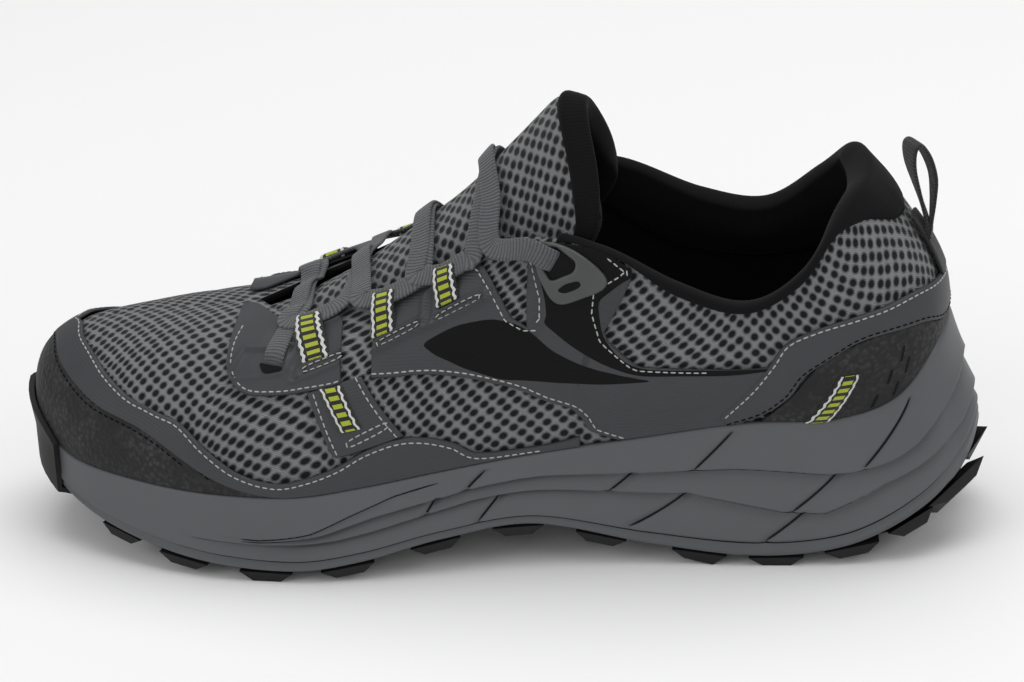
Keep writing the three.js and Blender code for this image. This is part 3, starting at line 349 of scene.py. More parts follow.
def lay(turn, v, lift=0.0):
    """Point on the lasted skin, lifted along its normal, with the soft troughs pressed in: each is
    a Gaussian across a slanting line. On the ridge both sides share one normal."""
    turn, v, lift = np.broadcast_arrays(*(np.asarray(a, float) for a in (turn, v, lift)))
    normal = skin_normal(turn, v)
    ridge = (v > 1 - NEARBY) & (place_on(turn)[1] > THROAT - NEARBY)
    normal = np.where(ridge[..., None], unit(normal + skin_normal(2 - turn, v)), normal)
    press = np.zeros_like(turn)
    for at, height, wide, tall, deep, slant in TROUGHS:
        across = (np.mod(turn, 2) - at - slant * (v - height)) / wide
        press += deep * np.exp(-across**2 - ((v - height) / tall) ** 2)
    return skin(turn, v) + normal * (lift - press * np.clip(4 * (1.0 - v) + 0.4, 0, 1))[..., None]


def turn_at(station, side):
    """The turn of a station on a side, which is below 0 for the outer side."""
    share = np.asarray(station) / LAST_STATION
    return np.where(np.asarray(side) < 0, share, 2 - share)


def net(name, points, uv, material, round_rows=False, round_columns=False, weld=0.0, hole=None,
        second=None, capped=False):
    """An object of quads over a grid of points in mm, (rows, columns, 3), with a UV in mm at each
    corner. A round way joins its last line to its first, and its UV has one line more. Cells in
    hole are left out, second is (material, cells that have it), and capped closes the ends."""
    rows, columns = points.shape[:2]
    cells_down, cells_across = rows - (not round_rows), columns - (not round_columns)
    j, i = np.meshgrid(np.arange(cells_down), np.arange(cells_across), indexing="ij")
    if hole is not None:
        kept = ~hole[: j.shape[0], : j.shape[1]]
        j, i = j[kept], i[kept]
    steps = [(0, 0), (0, 1), (1, 1), (1, 0)]
    corners = np.stack([(j + a) % rows * columns + (i + b) % columns for a, b in steps], -1).reshape(-1, 4)
    mesh = bpy.data.meshes.new(name)
    mesh.from_pydata(((points + origin) / 1000).reshape(-1, 3).tolist(), [], corners.tolist())
    layer = mesh.uv_layers.new(name="cloth")
    corner_uv = np.stack([uv[j + a, i + b] for a, b in steps], -2)
    layer.data.foreach_set("uv", corner_uv.reshape(-1).astype(np.float32))
    mesh.polygons.foreach_set("use_smooth", np.ones(len(corners), bool))
    mesh.materials.append(material)
    if second:
        mesh.materials.append(second[0])
        mesh.polygons.foreach_set("material_index", second[1][j, i].reshape(-1).astype(np.int32))
    piece = placed(name, mesh)
    work = bmesh.new()
    work.from_mesh(mesh)
    if weld:
        bmesh.ops.remove_doubles(work, verts=work.verts, dist=weld / 1000)
    if capped:
        bmesh.ops.holes_fill(work, edges=[e for e in work.edges if e.is_boundary], sides=0)
    bmesh.ops.recalc_face_normals(work, faces=work.faces)
    work.to_mesh(mesh)
    work.free()
    return piece


def spans(points, axis):
    """Distances in mm from the first line of a grid, summed along an axis."""
    step = np.linalg.norm(np.diff(points, axis=axis), axis=-1)
    return np.concatenate([np.zeros_like(np.take(step, [0], axis)), np.cumsum(step, axis)], axis)


def straight(rows, s, places=None):
    """Rows joined by straight lines, read at row numbers s, or at places where the rows' are given."""
    places = np.arange(len(rows)) if places is None else places
    return np.stack([np.interp(s, places, column) for column in rows.T], -1)


def dressed(piece, slot, *nodes):
    """Puts a piece on the shoe's body, in place of its plain solids; its slot is not used."""
    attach(piece, "root")
    if nodes:
        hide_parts(*nodes)
    return piece


def signed_power(x, power):
    """x to a power with its sign kept, which squares up the section of an ellipse."""
    return np.sign(x) * np.abs(x) ** power


def ribbon(name, middle, normal, wide, thick, material, sides=20):
    """Ribbon along a path, flat across the given normals: its section is a superellipse of a width and
    a thickness, which may change along it, and its UV is in mm along and across."""
    tangent = unit(np.gradient(middle, axis=0))
    up = unit(normal - tangent * (normal * tangent).sum(1, keepdims=True))
    across = np.cross(tangent, up)
    angle = np.linspace(0, 2 * np.pi, sides, endpoint=False)
    half_wide, half_thick = (np.broadcast_to(a, len(middle))[:, None] / 2 for a in (wide, thick))
    flat = signed_power(np.cos(angle), 0.45)
    body = signed_power(np.sin(angle), 0.6)
    points = (middle[:, None] + across[:, None] * (flat * half_wide)[..., None]
              + up[:, None] * (body * half_thick)[..., None])
    closed = np.append(flat, 1)
    uv = np.stack([spans(middle, 0)[:, None] + 0 * closed, closed * half_wide], -1)
    return net(name, points, uv, material, round_columns=True, capped=True)


# Outsole: black rubber with lugs, moulded in one and glued into the foam; it wraps up over the toe.
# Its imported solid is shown, with the small rounding that a mould leaves on every edge.
RUBBER_BLACK = "#161617"
MOULD_RADIUS = 0.35
CREASE = math.radians(28)


def moulded_rubber():
    """Black carbon rubber: matt, with a fine spark-eroded grain of about 1 mm and dusty high spots."""
    material, tree = finish_of("moulded_rubber", Roughness=0.62, Specular_IOR_Level=0.3)
    place = add(tree, "TexCoord").outputs["Object"]
    grain = add(tree, "TexNoise", {"Vector": place, "Scale": 900.0, "Detail": 3.0})
    dust = add(tree, "TexNoise", {"Vector": place, "Scale": 60.0, "Detail": 4.0})
    amount = add(tree, "MapRange", {"Value": dust.outputs["Fac"], "From Min": 0.45, "From Max": 0.8,
                                    "To Max": 0.4})
    tone = add(tree, "Mix", {0: amount.outputs[0], 6: linear(RUBBER_BLACK), 7: linear("#2a2a2b")},
               data_type="RGBA")
    bump = add(tree, "Bump", {"Height": grain.outputs["Fac"], "Strength": 0.25, "Distance": 0.0003})
    return wired(material, Base_Color=tone.outputs[2], Normal=bump.outputs[0])


def build_outsole():
    """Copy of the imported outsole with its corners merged, and edges sharper than a crease crisp."""
    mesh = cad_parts["outsole"].data.copy()
    work = bmesh.new()
    work.from_mesh(mesh)
    bmesh.ops.remove_doubles(work, verts=work.verts, dist=1e-6)
    bmesh.ops.dissolve_limit(work, angle_limit=math.radians(1), verts=work.verts, edges=work.edges)
    for edge in work.edges:
        edge.smooth = edge.calc_face_angle(0) < CREASE
    for face in work.faces:
        face.smooth = True
    work.to_mesh(mesh)
    work.free()
    mesh.materials.clear()
    mesh.materials.append(moulded_rubber())
    piece = placed("outsole_rubber", mesh)
    bevel = piece.modifiers.new("mould_radius", "BEVEL")
    bevel.width = MOULD_RADIUS / 1000
    bevel.segments = 2
    bevel.limit_method = "ANGLE"
    bevel.angle_limit = math.radians(30)
    return piece


dressed(build_outsole(), "rubber", "outsole")

# Midsole: one block of moulded EVA foam with a thin closed skin, slate grey. Two stepped grooves
# run round its wall, joined by slanting cuts, and die out before the toe.
FOAM_SLATE = "#56585b"
RUBBER_PLATE = 1.8
PLATE_CLEAR = 0.25
LIP = 0.05
MIDSOLE_ROWS = 784
WALL_RINGS = 84
# Steps round the wall, heel to toe: (station, height on the wall as a share)
STEP_HIGH = np.array([
    (0, 0.6), (1.0, 0.55), (1.86, 0.52), (2.3, 0.52), (3.02, 0.57), (3.48, 0.62), (4.16, 0.67),
    (5.08, 0.68), (5.9, 0.69), (6.7, 0.66), (7.02, 0.62), (7.8, 0.58), (8.54, 0.47), (9.4, 0.4), (14, 0.4)])
STEP_LOW = np.array([
    (0, 0.27), (0.7, 0.27), (1.4, 0.29), (2.0, 0.33), (2.48, 0.36), (3.0, 0.32), (3.24, 0.29), (3.7, 0.33),
    (4.58, 0.48), (5.1, 0.49), (5.92, 0.49), (6.64, 0.48), (7.18, 0.42), (8.34, 0.36), (14, 0.33)])
STEP_FAINT = np.array([(7.0, 0.86), (7.54, 0.81), (8.74, 0.52), (9.4, 0.44), (14, 0.44)])
STEP_FOOT = np.array([(0, 0.1), (3, 0.1), (6, 0.13), (9, 0.14), (12, 0.2), (14, 0.24)])
STEP_DEPTH = 2.0
# Steps: (line, share of the depth, station where it starts to fade, where it is gone, end of its painted
# groove shade)
STEPS = [(STEP_HIGH, 1.0, 8.6, 9.8, 9.6), (STEP_LOW, 1.0, 8.9, 10.4, 10.2),
         (STEP_FAINT, 0.45, 8.9, 10.0, 9.6), (STEP_FOOT, 0.55, 13.0, 14.5, 13.0)]
# Slanting cuts: their ends as (station, height)
CUTS = [
    ((6.46, 0.88), (6.7, 0.66)), ((7.02, 0.63), (7.18, 0.42)), ((6.32, 0.46), (6.58, 0.15)),
    ((5.06, 0.68), (5.3, 0.5)), ((4.12, 0.95), (4.52, 0.68)), ((4.6, 0.48), (5.16, 0.15)),
    ((3.04, 0.57), (3.6, 0.33)), ((3.46, 0.31), (3.9, 0.12)), ((1.78, 0.9), (2.7, 0.57))]
CUT_DEPTH = 1.0
CUT_WIDTH = 0.8
STATION_MM = 21.7
WALL_MM = 38.0


def wall_relief(station, share):
    """How far the foam stands out of its plain wall. A step is proud above its line and set back
    below it, fading away in both directions; a cut is a Gaussian about its own line."""
    relief = np.zeros_like(share)
    for line, depth, start, end, _ in STEPS:
        x = (share - np.interp(station, line[:, 0], line[:, 1])) * WALL_MM
        fade = np.clip((end - station) / (end - start), 0, 1) * depth * STEP_DEPTH
        if line is STEP_FAINT:
            fade = fade * np.clip((station - line[0, 0]) / 0.8, 0, 1)
        proud = 0.45 * np.exp(-np.clip(x, 0, None) / 5.0)
        back = -1.0 * np.exp(np.clip(x, None, 0) / 4.0)
        relief += fade * (back + (proud - back) * (0.5 + 0.5 * np.tanh(x / 0.32)))
    for (s0, v0), (s1, v1) in CUTS:
        a = np.array([s0 * STATION_MM, v0 * WALL_MM])
        d = np.array([s1 * STATION_MM, v1 * WALL_MM]) - a
        q = np.stack([station * STATION_MM, share * WALL_MM], -1) - a
        t = np.clip((q @ d) / (d @ d), 0, 1)
        relief -= CUT_DEPTH * np.exp(-(np.linalg.norm(q - t[..., None] * d, axis=-1) / CUT_WIDTH) ** 2)
    return relief * np.clip((1 - share) / 0.06, 0, 1)


def moulded_foam():
    """Moulded EVA: semi-matt skin with a faint pebble of under a millimetre, slightly mottled in
    tone and gloss."""
    material, tree = finish_of("moulded_eva_foam", Roughness=0.45, Specular_IOR_Level=0.45)
    place = add(tree, "TexCoord").outputs["Object"]
    pebble = add(tree, "TexNoise", {"Vector": place, "Scale": 1300.0, "Detail": 2.0})
    cloud = add(tree, "TexNoise", {"Vector": place, "Scale": 22.0, "Detail": 5.0, "Roughness": 0.62})
    tone = add(tree, "Mix", {0: cloud.outputs["Fac"], 6: linear("#4b4d50"), 7: linear(FOAM_SLATE)},
               data_type="RGBA")
    rough = add(tree, "MapRange", {"Value": cloud.outputs["Fac"], "From Min": 0.3, "From Max": 0.7,
                                   "To Min": 0.4, "To Max": 0.56})
    bump = add(tree, "Bump", {"Height": pebble.outputs["Fac"], "Strength": 0.16, "Distance": 0.0002})
    return wired(material, Base_Color=tone.outputs[2], Roughness=rough.outputs[0], Normal=bump.outputs[0])


def sole_point(turn, q, lift):
    """Underside of the midsole: from its edge (q 0) to the middle line (q 1), its rise dying away
    as a cubic; lift is along the vertical."""
    edge = bottom_ring(turn)
    x = edge[..., 0] * (1 - q) + middle_line(turn) * q
    base = LUG_HEIGHT + ARCH_LIFT * column_along(SPINE, 1, 0.5 - np.stack([x, edge[..., 0]]) / LENGTH)
    return np.stack([x, edge[..., 1] * (1 - q), base[0] + (edge[..., 2] - base[1]) * (1 - q) ** 3 + lift], -1)


def build_midsole():
    """Closed ring of columns: the recess over the outsole, the lip, the wall with its relief and
    rounded rim, and the footbed."""
    turn = np.linspace(0, 2, MIDSOLE_ROWS, endpoint=False)
    station = place_on(turn)[1]
    recess = RUBBER_PLATE + GAP + PLATE_CLEAR
    under = [sole_point(turn, q, recess) for q in (1.0, 0.75, 0.5, 0.3, 0.18, 0.1, LIP + 0.004)]
    lip = [sole_point(turn, LIP, 0), sole_point(turn, LIP * 0.6, 0)]
    share = np.linspace(0, 1, WALL_RINGS)[None, :]
    low, high, n = (f(turn)[:, None] for f in (bottom_ring, rim_ring, outward))
    round_foot = 0.7 * np.exp(-share * WALL_MM / 0.5)
    round_rim = 0.6 * np.exp(-(1 - share) * WALL_MM / 0.5)
    relief = wall_relief(station[:, None] + 0 * share, share + 0 * station[:, None]) - round_foot - round_rim
    wall = low + (high - low) * share[..., None] + n * relief[..., None]
    rim = [rim_ring(turn) - RIM_WALL * k * outward(turn) for k in (0.6, 1.0)]
    bed = [bed_point(turn, RIM_WALL + (FOOT_TUCK if q == 0 else 0), 0, q) for q in (0, 0.33, 0.66, 1.0)]
    points = np.concatenate([np.stack(under + lip, 1), wall, np.stack(rim + bed, 1)], 1)
    closed = np.concatenate([points, points[:1]], 0)
    uv = np.stack([spans(closed, 0), spans(closed, 1)], -1)
    return net("midsole_foam", points, uv, moulded_foam(), round_rows=True, weld=0.01)


dressed(build_midsole(), "foam", "midsole")

# Groove shade: painted shade along the floor of each step and cut in the foam, a thin dark line where
# shadow gathers in the groove. Each is a dull black ribbon laid along it.
GROOVE_SHADE_BLACK = "#1a1b1c"
GROOVE_WIDE = 0.6
GROOVE_THICK = 0.35
SIDES = ((-1, "lateral"), (1, "medial"))
groove_shade_finish, _ = finish_of("groove_painted_shade", Base_Color=linear(GROOVE_SHADE_BLACK), Roughness=0.9,
                             Specular_IOR_Level=0.1)


def groove_shade(name, line, side, below=0.0, lift=0.06):
    """Ribbon of painted groove shade along a line of (station, height) on the foam's wall, tapering at both
    ends.
    """
    stops = np.array(line, float)
    last = len(stops) - 1
    count = max(6, int(np.abs(np.diff(stops[:, 0])).sum() * STATION_MM * 1.2))
    s = np.linspace(0, last, count)
    station, share = straight(stops, s).T
    share = share - below / WALL_MM
    turn = turn_at(station, side)
    low, high, n = bottom_ring(turn), rim_ring(turn), outward(turn)
    path = low + (high - low) * share[:, None] + n * (wall_relief(station, share) + lift)[:, None]
    end = np.sqrt(np.clip(np.minimum(s, last - s) / last * 8, 0.02, 1))
    return dressed(ribbon(name, path, n, GROOVE_WIDE * end, GROOVE_THICK * end, groove_shade_finish, 8), "foam")


for side, word in SIDES:
    for k, (line, _, _, _, last) in enumerate(STEPS):
        kept = line[line[:, 0] < last]
        end = (last, np.interp(last, line[:, 0], line[:, 1]))
        groove_shade(f"step_groove_shade_{k}_{word}", np.vstack([kept, end]), side, 0.3)
    for k, cut in enumerate(CUTS):
        groove_shade(f"cut_groove_shade_{k}_{word}", cut, side, 0.0, 0.35)

# Insole: a loose die-cut footbed, black knit laminated on foam. It lies in the sole's bed, clear of
# the upper's foot.
INSOLE_THICK = 4.0
INSOLE_ROUND = 1.2
INSOLE_ROWS = 224


def build_insole():
    """Closed pad between two footbed levels, its upper edge rounded as a quarter circle."""
    turn = np.linspace(0, 2, INSOLE_ROWS, endpoint=False)
    face = GAP + INSOLE_THICK
    rows = [bed_point(turn, INSOLE_INSET, GAP, q) for q in (1.0, 0.5, 0.0)]
    for a in np.linspace(0, math.pi / 2, 5):
        inset = INSOLE_INSET + INSOLE_ROUND * (1 - math.cos(a))
        rows.append(bed_point(turn, inset, face - INSOLE_ROUND * (1 - math.sin(a)), 0))
    rows += [bed_point(turn, INSOLE_INSET + INSOLE_ROUND, face, q) for q in (0.1, 0.25, 0.5, 0.75, 1.0)]
    points = np.stack(rows, 1)
    closed = np.concatenate([points, points[:1]], 0)
    return net("insole_pad", points, closed[..., :2], footbed_knit, round_rows=True, weld=0.01)


# Upper: one lasted shell of open warp-knit mesh over a thin black lining, glued into the sole's rim.
# Grey multifilament yarn is knitted round staggered round holes that show the black lining behind.
MESH_YARN = "#808183"
MESH_YARN_DARK = "#5a5b5e"
# painted shade: colour of the yarn where it turns down into the holes
YARN_PAINTED_SHADE = "#2b2c2e"
HOLE_BLACK = "#070708"
MESH_PITCH = 4.9
MESH_ROW = 2.45
HOLE_REACH = 0.285
YARN_WIDTH = 0.55
LINING_BLACK = "#0c0c0d"
UPPER_ROWS = 9 * 28
UPPER_COLUMNS = 54
LINING_COLUMNS = 18
COLLAR_ROLL = 0.05
COLLAR_FRONT = 7
HEEL_ROLL = 0.06
# Stations between which the top edge goes down to the heel
HEEL_SPAN = (2.6, 1.0)


def uv_of(tree, pitch=(1.0, 1.0), turn=0.0):
    """The piece's own UV in mm divided by a pitch and turned by an angle."""
    cloth = add(tree, "UVMap", uv_map="cloth")
    size = (1 / pitch[0], 1 / pitch[1], 1)
    placing = {"Vector": cloth.outputs[0], "Scale": size, "Rotation": (0, 0, turn)}
    return add(tree, "Mapping", placing).outputs[0]


def open_mesh(name, pitch, row, yarn, yarn_dark):
    """Warp-knit mesh: staggered holes are the cells of a square lattice turned by 45 degrees, and
    the yarn between them is ribbed by fine waves. Deep matt holes; painted shade darkens the yarn toward each
    hole and leaves it lightest where the yarns cross, as if round and lit."""
    material, tree = finish_of(name, Roughness=0.85, Specular_IOR_Level=0.2, Sheen_Weight=0.15,
                               Sheen_Roughness=0.5)
    root2 = math.sqrt(2)
    lattice = uv_of(tree, (pitch / root2, 2 * row / root2), math.pi / 4)
    cells = add(tree, "TexVoronoi", {"Vector": lattice, "Scale": 1.0, "Randomness": 0.16},
                voronoi_dimensions="2D").outputs["Distance"]
    rim = add(tree, "MapRange", {"Value": cells, "From Min": HOLE_REACH - 0.06,
                                 "From Max": HOLE_REACH + 0.07}, interpolation_type="SMOOTHSTEP")
    along_yarn = uv_of(tree, (YARN_WIDTH, YARN_WIDTH), 0.9)
    strands = add(tree, "TexWave", {"Vector": along_yarn, "Scale": 0.32, "Distortion": 3.5, "Detail": 2.0,
                                    "Detail Scale": 1.6}, wave_profile="SIN").outputs["Fac"]
    patches = add(tree, "TexNoise", {"Vector": uv_of(tree), "Scale": 0.16, "Detail": 3.0})
    tone = add(tree, "Mix", {0: strands, 6: linear(yarn_dark), 7: linear(yarn)}, data_type="RGBA")
    worn = add(tree, "Mix", {0: patches.outputs["Fac"], 6: tone.outputs[2], 7: linear(yarn)},
               data_type="RGBA")
    # painted shade: the yarn darkens toward each hole, standing in for its round section turning from the
    # light; the same ramp also raises the bump
    dome = add(tree, "MapRange", {"Value": cells, "From Min": HOLE_REACH - 0.08, "From Max": 0.56},
               interpolation_type="SMOOTHERSTEP")
    painted_yarn_shade = add(tree, "Mix", {0: dome.outputs[0], 6: linear(YARN_PAINTED_SHADE), 7: worn.outputs[2]},
                  data_type="RGBA")
    shown = add(tree, "Mix", {0: rim.outputs[0], 6: linear(HOLE_BLACK), 7: painted_yarn_shade.outputs[2]},
                data_type="RGBA")
    height = add(tree, "Math", {0: strands, 1: 0.16, 2: dome.outputs[0]}, operation="MULTIPLY_ADD")
    bump = add(tree, "Bump", {"Height": height.outputs[0], "Strength": 0.85, "Distance": 0.0009})
    return wired(material, Base_Color=shown.outputs[2], Normal=bump.outputs[0])


def lining_knit(name, colour):
    """Brushed polyester lining: black, with fine vertical wales and a soft bloom at grazing angles."""
    material, tree = finish_of(name, Roughness=0.9, Specular_IOR_Level=0.12, Sheen_Weight=0.04,
                               Sheen_Roughness=0.4)
    wales = add(tree, "TexWave", {"Vector": uv_of(tree), "Scale": 0.32, "Distortion": 0.6, "Detail": 1.0},
                wave_profile="SIN")
    fluff = add(tree, "TexNoise", {"Vector": uv_of(tree), "Scale": 1.4, "Detail": 4.0})
    tone = add(tree, "Mix", {0: fluff.outputs["Fac"], 6: linear(colour), 7: linear("#111113")},
               data_type="RGBA")
    height = add(tree, "Math", {0: fluff.outputs["Fac"], 1: 0.5, 2: wales.outputs["Fac"]},
                 operation="MULTIPLY_ADD")
    bump = add(tree, "Bump", {"Height": height.outputs[0], "Strength": 0.2, "Distance": 0.0004})
    return wired(material, Base_Color=tone.outputs[2], Normal=bump.outputs[0])


mesh_cloth = open_mesh("warp_knit_mesh", MESH_PITCH, MESH_ROW, MESH_YARN, MESH_YARN_DARK)
lining = lining_knit("brushed_lining", LINING_BLACK)


def upper_top(turn):
    """Height on the rib where the upper ends under the padded collar."""
    station = place_on(turn)[1]
    heel = np.clip((HEEL_SPAN[0] - station) / (HEEL_SPAN[0] - HEEL_SPAN[1]), 0, 1)
    return 1 - COLLAR_ROLL * np.clip(COLLAR_FRONT - station, 0, 1) - HEEL_ROLL * heel


SHEET_MIDDLE = 95.0
SHEET_START = 9.4
# Stations between which the cloth's map turns from the side to the flat sheet of the vamp
VAMP_SPAN = (8.6, 10.2)
fine_share = np.linspace(0, 1, 41)
fine_station = np.linspace(0, LAST_STATION, 10 * LAST_STATION + 1)
fine_turn = fine_station / LAST_STATION
round_arc = spans(skin(fine_turn, 0.6), 0)
sheet_start = np.interp(SHEET_START, fine_station, round_arc + skin(fine_turn, 0.5)[:, 0])


def cloth_uv(turn, v):
    """UV in mm of the lasted cloth at turns (one per row) and heights (rows of them). Behind the
    throat it runs round the shoe and up from the rim. Over the vamp a point lies on the flat sheet
    at its ridge point plus its distance down the rib in the rim's outward direction."""
    side, station = (a[:, None] for a in place_on(turn))
    rib = spans(skin(turn[:, None], fine_share), 1)
    up = np.stack([np.interp(heights, fine_share, lengths) for heights, lengths in zip(v, rib)])
    down = rib[:, -1:] - up
    top, n = crest(turn), outward(turn)
    sheet_u = sheet_start - top[:, 0:1] - down * n[:, 0:1]
    sheet_w = SHEET_MIDDLE + top[:, 1:2] + down * n[:, 1:2]
    around = np.interp(station, fine_station, round_arc) + 0 * up
    upward = np.where(side < 0, up, 2 * SHEET_MIDDLE - up)
    vamp = np.clip((station - VAMP_SPAN[0]) / (VAMP_SPAN[1] - VAMP_SPAN[0]), 0, 1)
    return np.stack([around + (sheet_u - around) * vamp, upward + (sheet_w - upward) * vamp], -1)


def build_upper():
    """Shell: the outer face up the ribs, over the top edge, and down the lining to the footbed."""
    turn = np.linspace(0, 2, UPPER_ROWS, endpoint=False)
    share = np.linspace(0, 1, UPPER_COLUMNS)
    deep = np.linspace(1, 0, LINING_COLUMNS)
    tall = upper_top(turn)[:, None]
    foot = bed_point(turn, RIM_WALL + GAP + FOOT_TUCK, GAP, 0)[:, None]
    inner_foot = bed_point(turn, RIM_WALL + GAP + FOOT_TUCK + UPPER_WALL, GAP, 0)[:, None]
    outer = lay(turn[:, None], share * tall)
    inner = lay(turn[:, None], deep * tall, -UPPER_WALL)
    points = np.concatenate([foot, outer, inner, inner_foot], 1)
    shares = np.concatenate([[0.0], share, deep, [0.0]])
    closing = np.append(turn, 2 - 1e-9)
    uv = cloth_uv(closing, shares * upper_top(closing)[:, None])
    uv = np.concatenate([uv, uv[:, :1]], 1)
    ridge = place_on(turn)[1] > THROAT - NEARBY
    open_ridge = ridge & np.roll(ridge, -1)
    hole = np.zeros((UPPER_ROWS, points.shape[1]), bool)
    hole[open_ridge, UPPER_COLUMNS] = True
    inside = np.zeros_like(hole)
    inside[:, UPPER_COLUMNS:] = True
    return net("upper_shell", points, uv, mesh_cloth, True, True, 0.02, hole, (lining, inside))


dressed(build_upper(), "mesh", "upper")

footbed_knit = lining_knit("laminated_footbed_knit", "#121213")
dressed(build_insole(), "footbed", "insole")

# Tongue: a padded mesh flap sewn in at the throat, its top edge bound in black knit.
# Its face is the upper's open mesh, its back and rolled top edge brushed lining.
# Columns: share of the length, rise to the collar's height, rise over it, half width, fall at the
# sides, share of the pad
TONGUE = np.array([
    (0.775, 0.549, 0, 0.16, 0.06, 0.35), (0.74, 0.574, 0, 0.18, 0.08, 0.5),
    (0.7, 0.615, 0, 0.2, 0.115, 0.7), (0.62, 0.735, 0, 0.235, 0.23, 0.9), (0.535, 0.89, 0, 0.25, 0.33, 1.0),
    (0.475, 0.96, 0.5, 0.25, 0.36, 1.15), (0.437, 0.995, 0.86, 0.24, 0.33, 1.2),
    (0.42, 1.0, 1.0, 0.23, 0.3, 0.9), (0.405, 1.0, 0.97, 0.21, 0.29, 0.4)])
TONGUE_END = len(TONGUE) - 1
PAD_END = 7.62
TONGUE_PAD = 7.0
TONGUE_LEAN = 0.33
KNIT_FROM = 6.75
TONGUE_MESH_PITCH = 4.6
TONGUE_ROWS = 90
TONGUE_FACE = 49


def tongue_point(s, b):
    """Face of the tongue at row s of its table and share b of its half width: a parabola across."""
    along, rise, up, half, drop, pad = np.moveaxis(through(TONGUE, s), -1, 0)
    low_down = np.clip((5.0 - s) / 2, 0, 1)
    fall = drop * BALL * (b * b + 0.45 * low_down * (b**6 - b * b))
    x = LENGTH * (0.5 - along) + TONGUE_LEAN * fall
    z = rise * COLLAR_HEIGHT + up * (TONGUE_HEIGHT - COLLAR_HEIGHT) - fall
    return np.stack([x, b * half * BALL, z], -1)


def tongue_normal(s, b):
    """Direction out of the tongue's face."""
    along = tongue_point(np.minimum(s + 0.05, TONGUE_END), b) - tongue_point(np.maximum(s - 0.05, 0), b)
    return unit(np.cross(along, tongue_point(s, b + 0.02) - tongue_point(s, b - 0.02)))


def pillow(t):
    """Height of a rounded edge, 0 at the edge to 1 inside, along a quarter circle of radius 1."""
    return np.sqrt(np.clip(1 - (1 - np.clip(t, 0, 1)) ** 2, 0, 1))


def build_tongue():
    """Closed pad: face and back meet in a half round of the pad's depth at both sides, and its top
    end is a half round too. The pad thins towards its ends as the square root of the distance."""
    s = np.linspace(0, PAD_END, TONGUE_ROWS)
    angle = np.linspace(0, 2 * np.pi, 2 * TONGUE_FACE, endpoint=False)
    b = np.cos(angle)
    depth = np.sin(angle)
    s2, b2 = np.meshgrid(s, b, indexing="ij")
    normal = tongue_normal(s2, b2)
    pad = through(TONGUE, s2)[..., 5] * TONGUE_PAD
    ends = pillow(np.sqrt(np.clip(np.minimum(s2 / 0.3, (PAD_END - s2) / 0.5), 0, 1)))
    thick = pad * (0.3 + 0.7 * np.sqrt(1 - b2 * b2)) * ends
    quilt = ends * 0.5 * np.sin(b2 * 9.0) * np.sin(s2 * 2.2) * np.clip(1 - b2 * b2, 0, 1)
    middle = tongue_point(s2, b2) - normal * (thick / 2)[..., None]
    half = signed_power(depth, 0.35) * thick / 2 + quilt * (depth > 0)
    points = middle + normal * half[..., None]
    share = np.linspace(-1, 1, 81)
    arc = spans(tongue_point(s[:, None], share[None, :]), 1)
    across = np.stack([np.interp(np.append(b, 1), share, row - row[len(share) // 2]) for row in arc])
    uv = np.stack([spans(tongue_point(s, 0 * s), 0)[:, None] + 0 * across, across], -1)
    knit = (depth[None, :] < 0.02) | (s2 > KNIT_FROM - 0.35 * b2**2) | ((np.abs(b2) > 0.93) & (s2 > 5.2))
    return net("tongue_pad", points, uv, tongue_mesh, round_columns=True, weld=0.01,
               second=(lining, knit), capped=True)


tongue_mesh = open_mesh("tongue_spacer_mesh", TONGUE_MESH_PITCH, MESH_ROW, MESH_YARN, MESH_YARN_DARK)
tongue = dressed(build_tongue(), "mesh", "tongue")

# The tongue's rolled edge: a foam-filled tube of black knit, down both sides and over the top.
# Stops along it: (row of the tongue's table, share of its half width, diameter in mm)
ROLL = np.array([
    (4.6, -1.0, 2.0), (5.4, -1.0, 4.5), (6.2, -0.99, 6.5), (7.0, -0.93, 8.0), (7.5, -0.74, 8.8),
    (7.65, -0.4, 9.2), (7.7, 0.0, 9.4), (7.65, 0.4, 9.2), (7.5, 0.74, 8.8), (7.0, 0.93, 8.0),
    (6.2, 0.99, 6.5), (5.4, 1.0, 4.5), (4.6, 1.0, 2.0)])
ROLL_SINK = 3.2
roll_line = through(ROLL, np.linspace(0, len(ROLL) - 1, 150))
roll_normal = tongue_normal(roll_line[:, 0], roll_line[:, 1])
roll_path = tongue_point(roll_line[:, 0], roll_line[:, 1]) - ROLL_SINK * roll_normal
roll = ribbon("tongue_roll", roll_path, roll_normal, roll_line[:, 2], roll_line[:, 2], lining, 24)
dressed(roll, "knit")

# Collar: foam wrapped in black brushed knit, folded over the top edge and sewn down on both faces.
# It rises into a rounded flare behind the heel tendon.
COLLAR_PAD = 6.0
COLLAR_SKIN = 1.2
COLLAR_TOP = 1.015
PAD_CLEAR = 0.25
V_MM = 80.0
HEEL_DIP = 0.05
HEEL_ROUND = 1.6
# Columns: station, low edge outside, low edge inside, pad share
COLLAR = np.array([
    (0, 0.6, 0.42, 1.5), (0.6, 0.64, 0.45, 1.4), (1.2, 0.78, 0.5, 1.1), (2, 0.89, 0.5, 0.8),
    (3, 0.895, 0.5, 0.85), (4, 0.89, 0.55, 0.9), (5, 0.9, 0.6, 0.7), (5.7, 0.955, 0.7, 0.3),
    (6.5, 0.96, 0.85, 0.1)])
COLLAR_END = 6.5
COLLAR_ROWS = 181
COLLAR_SIDES = 14


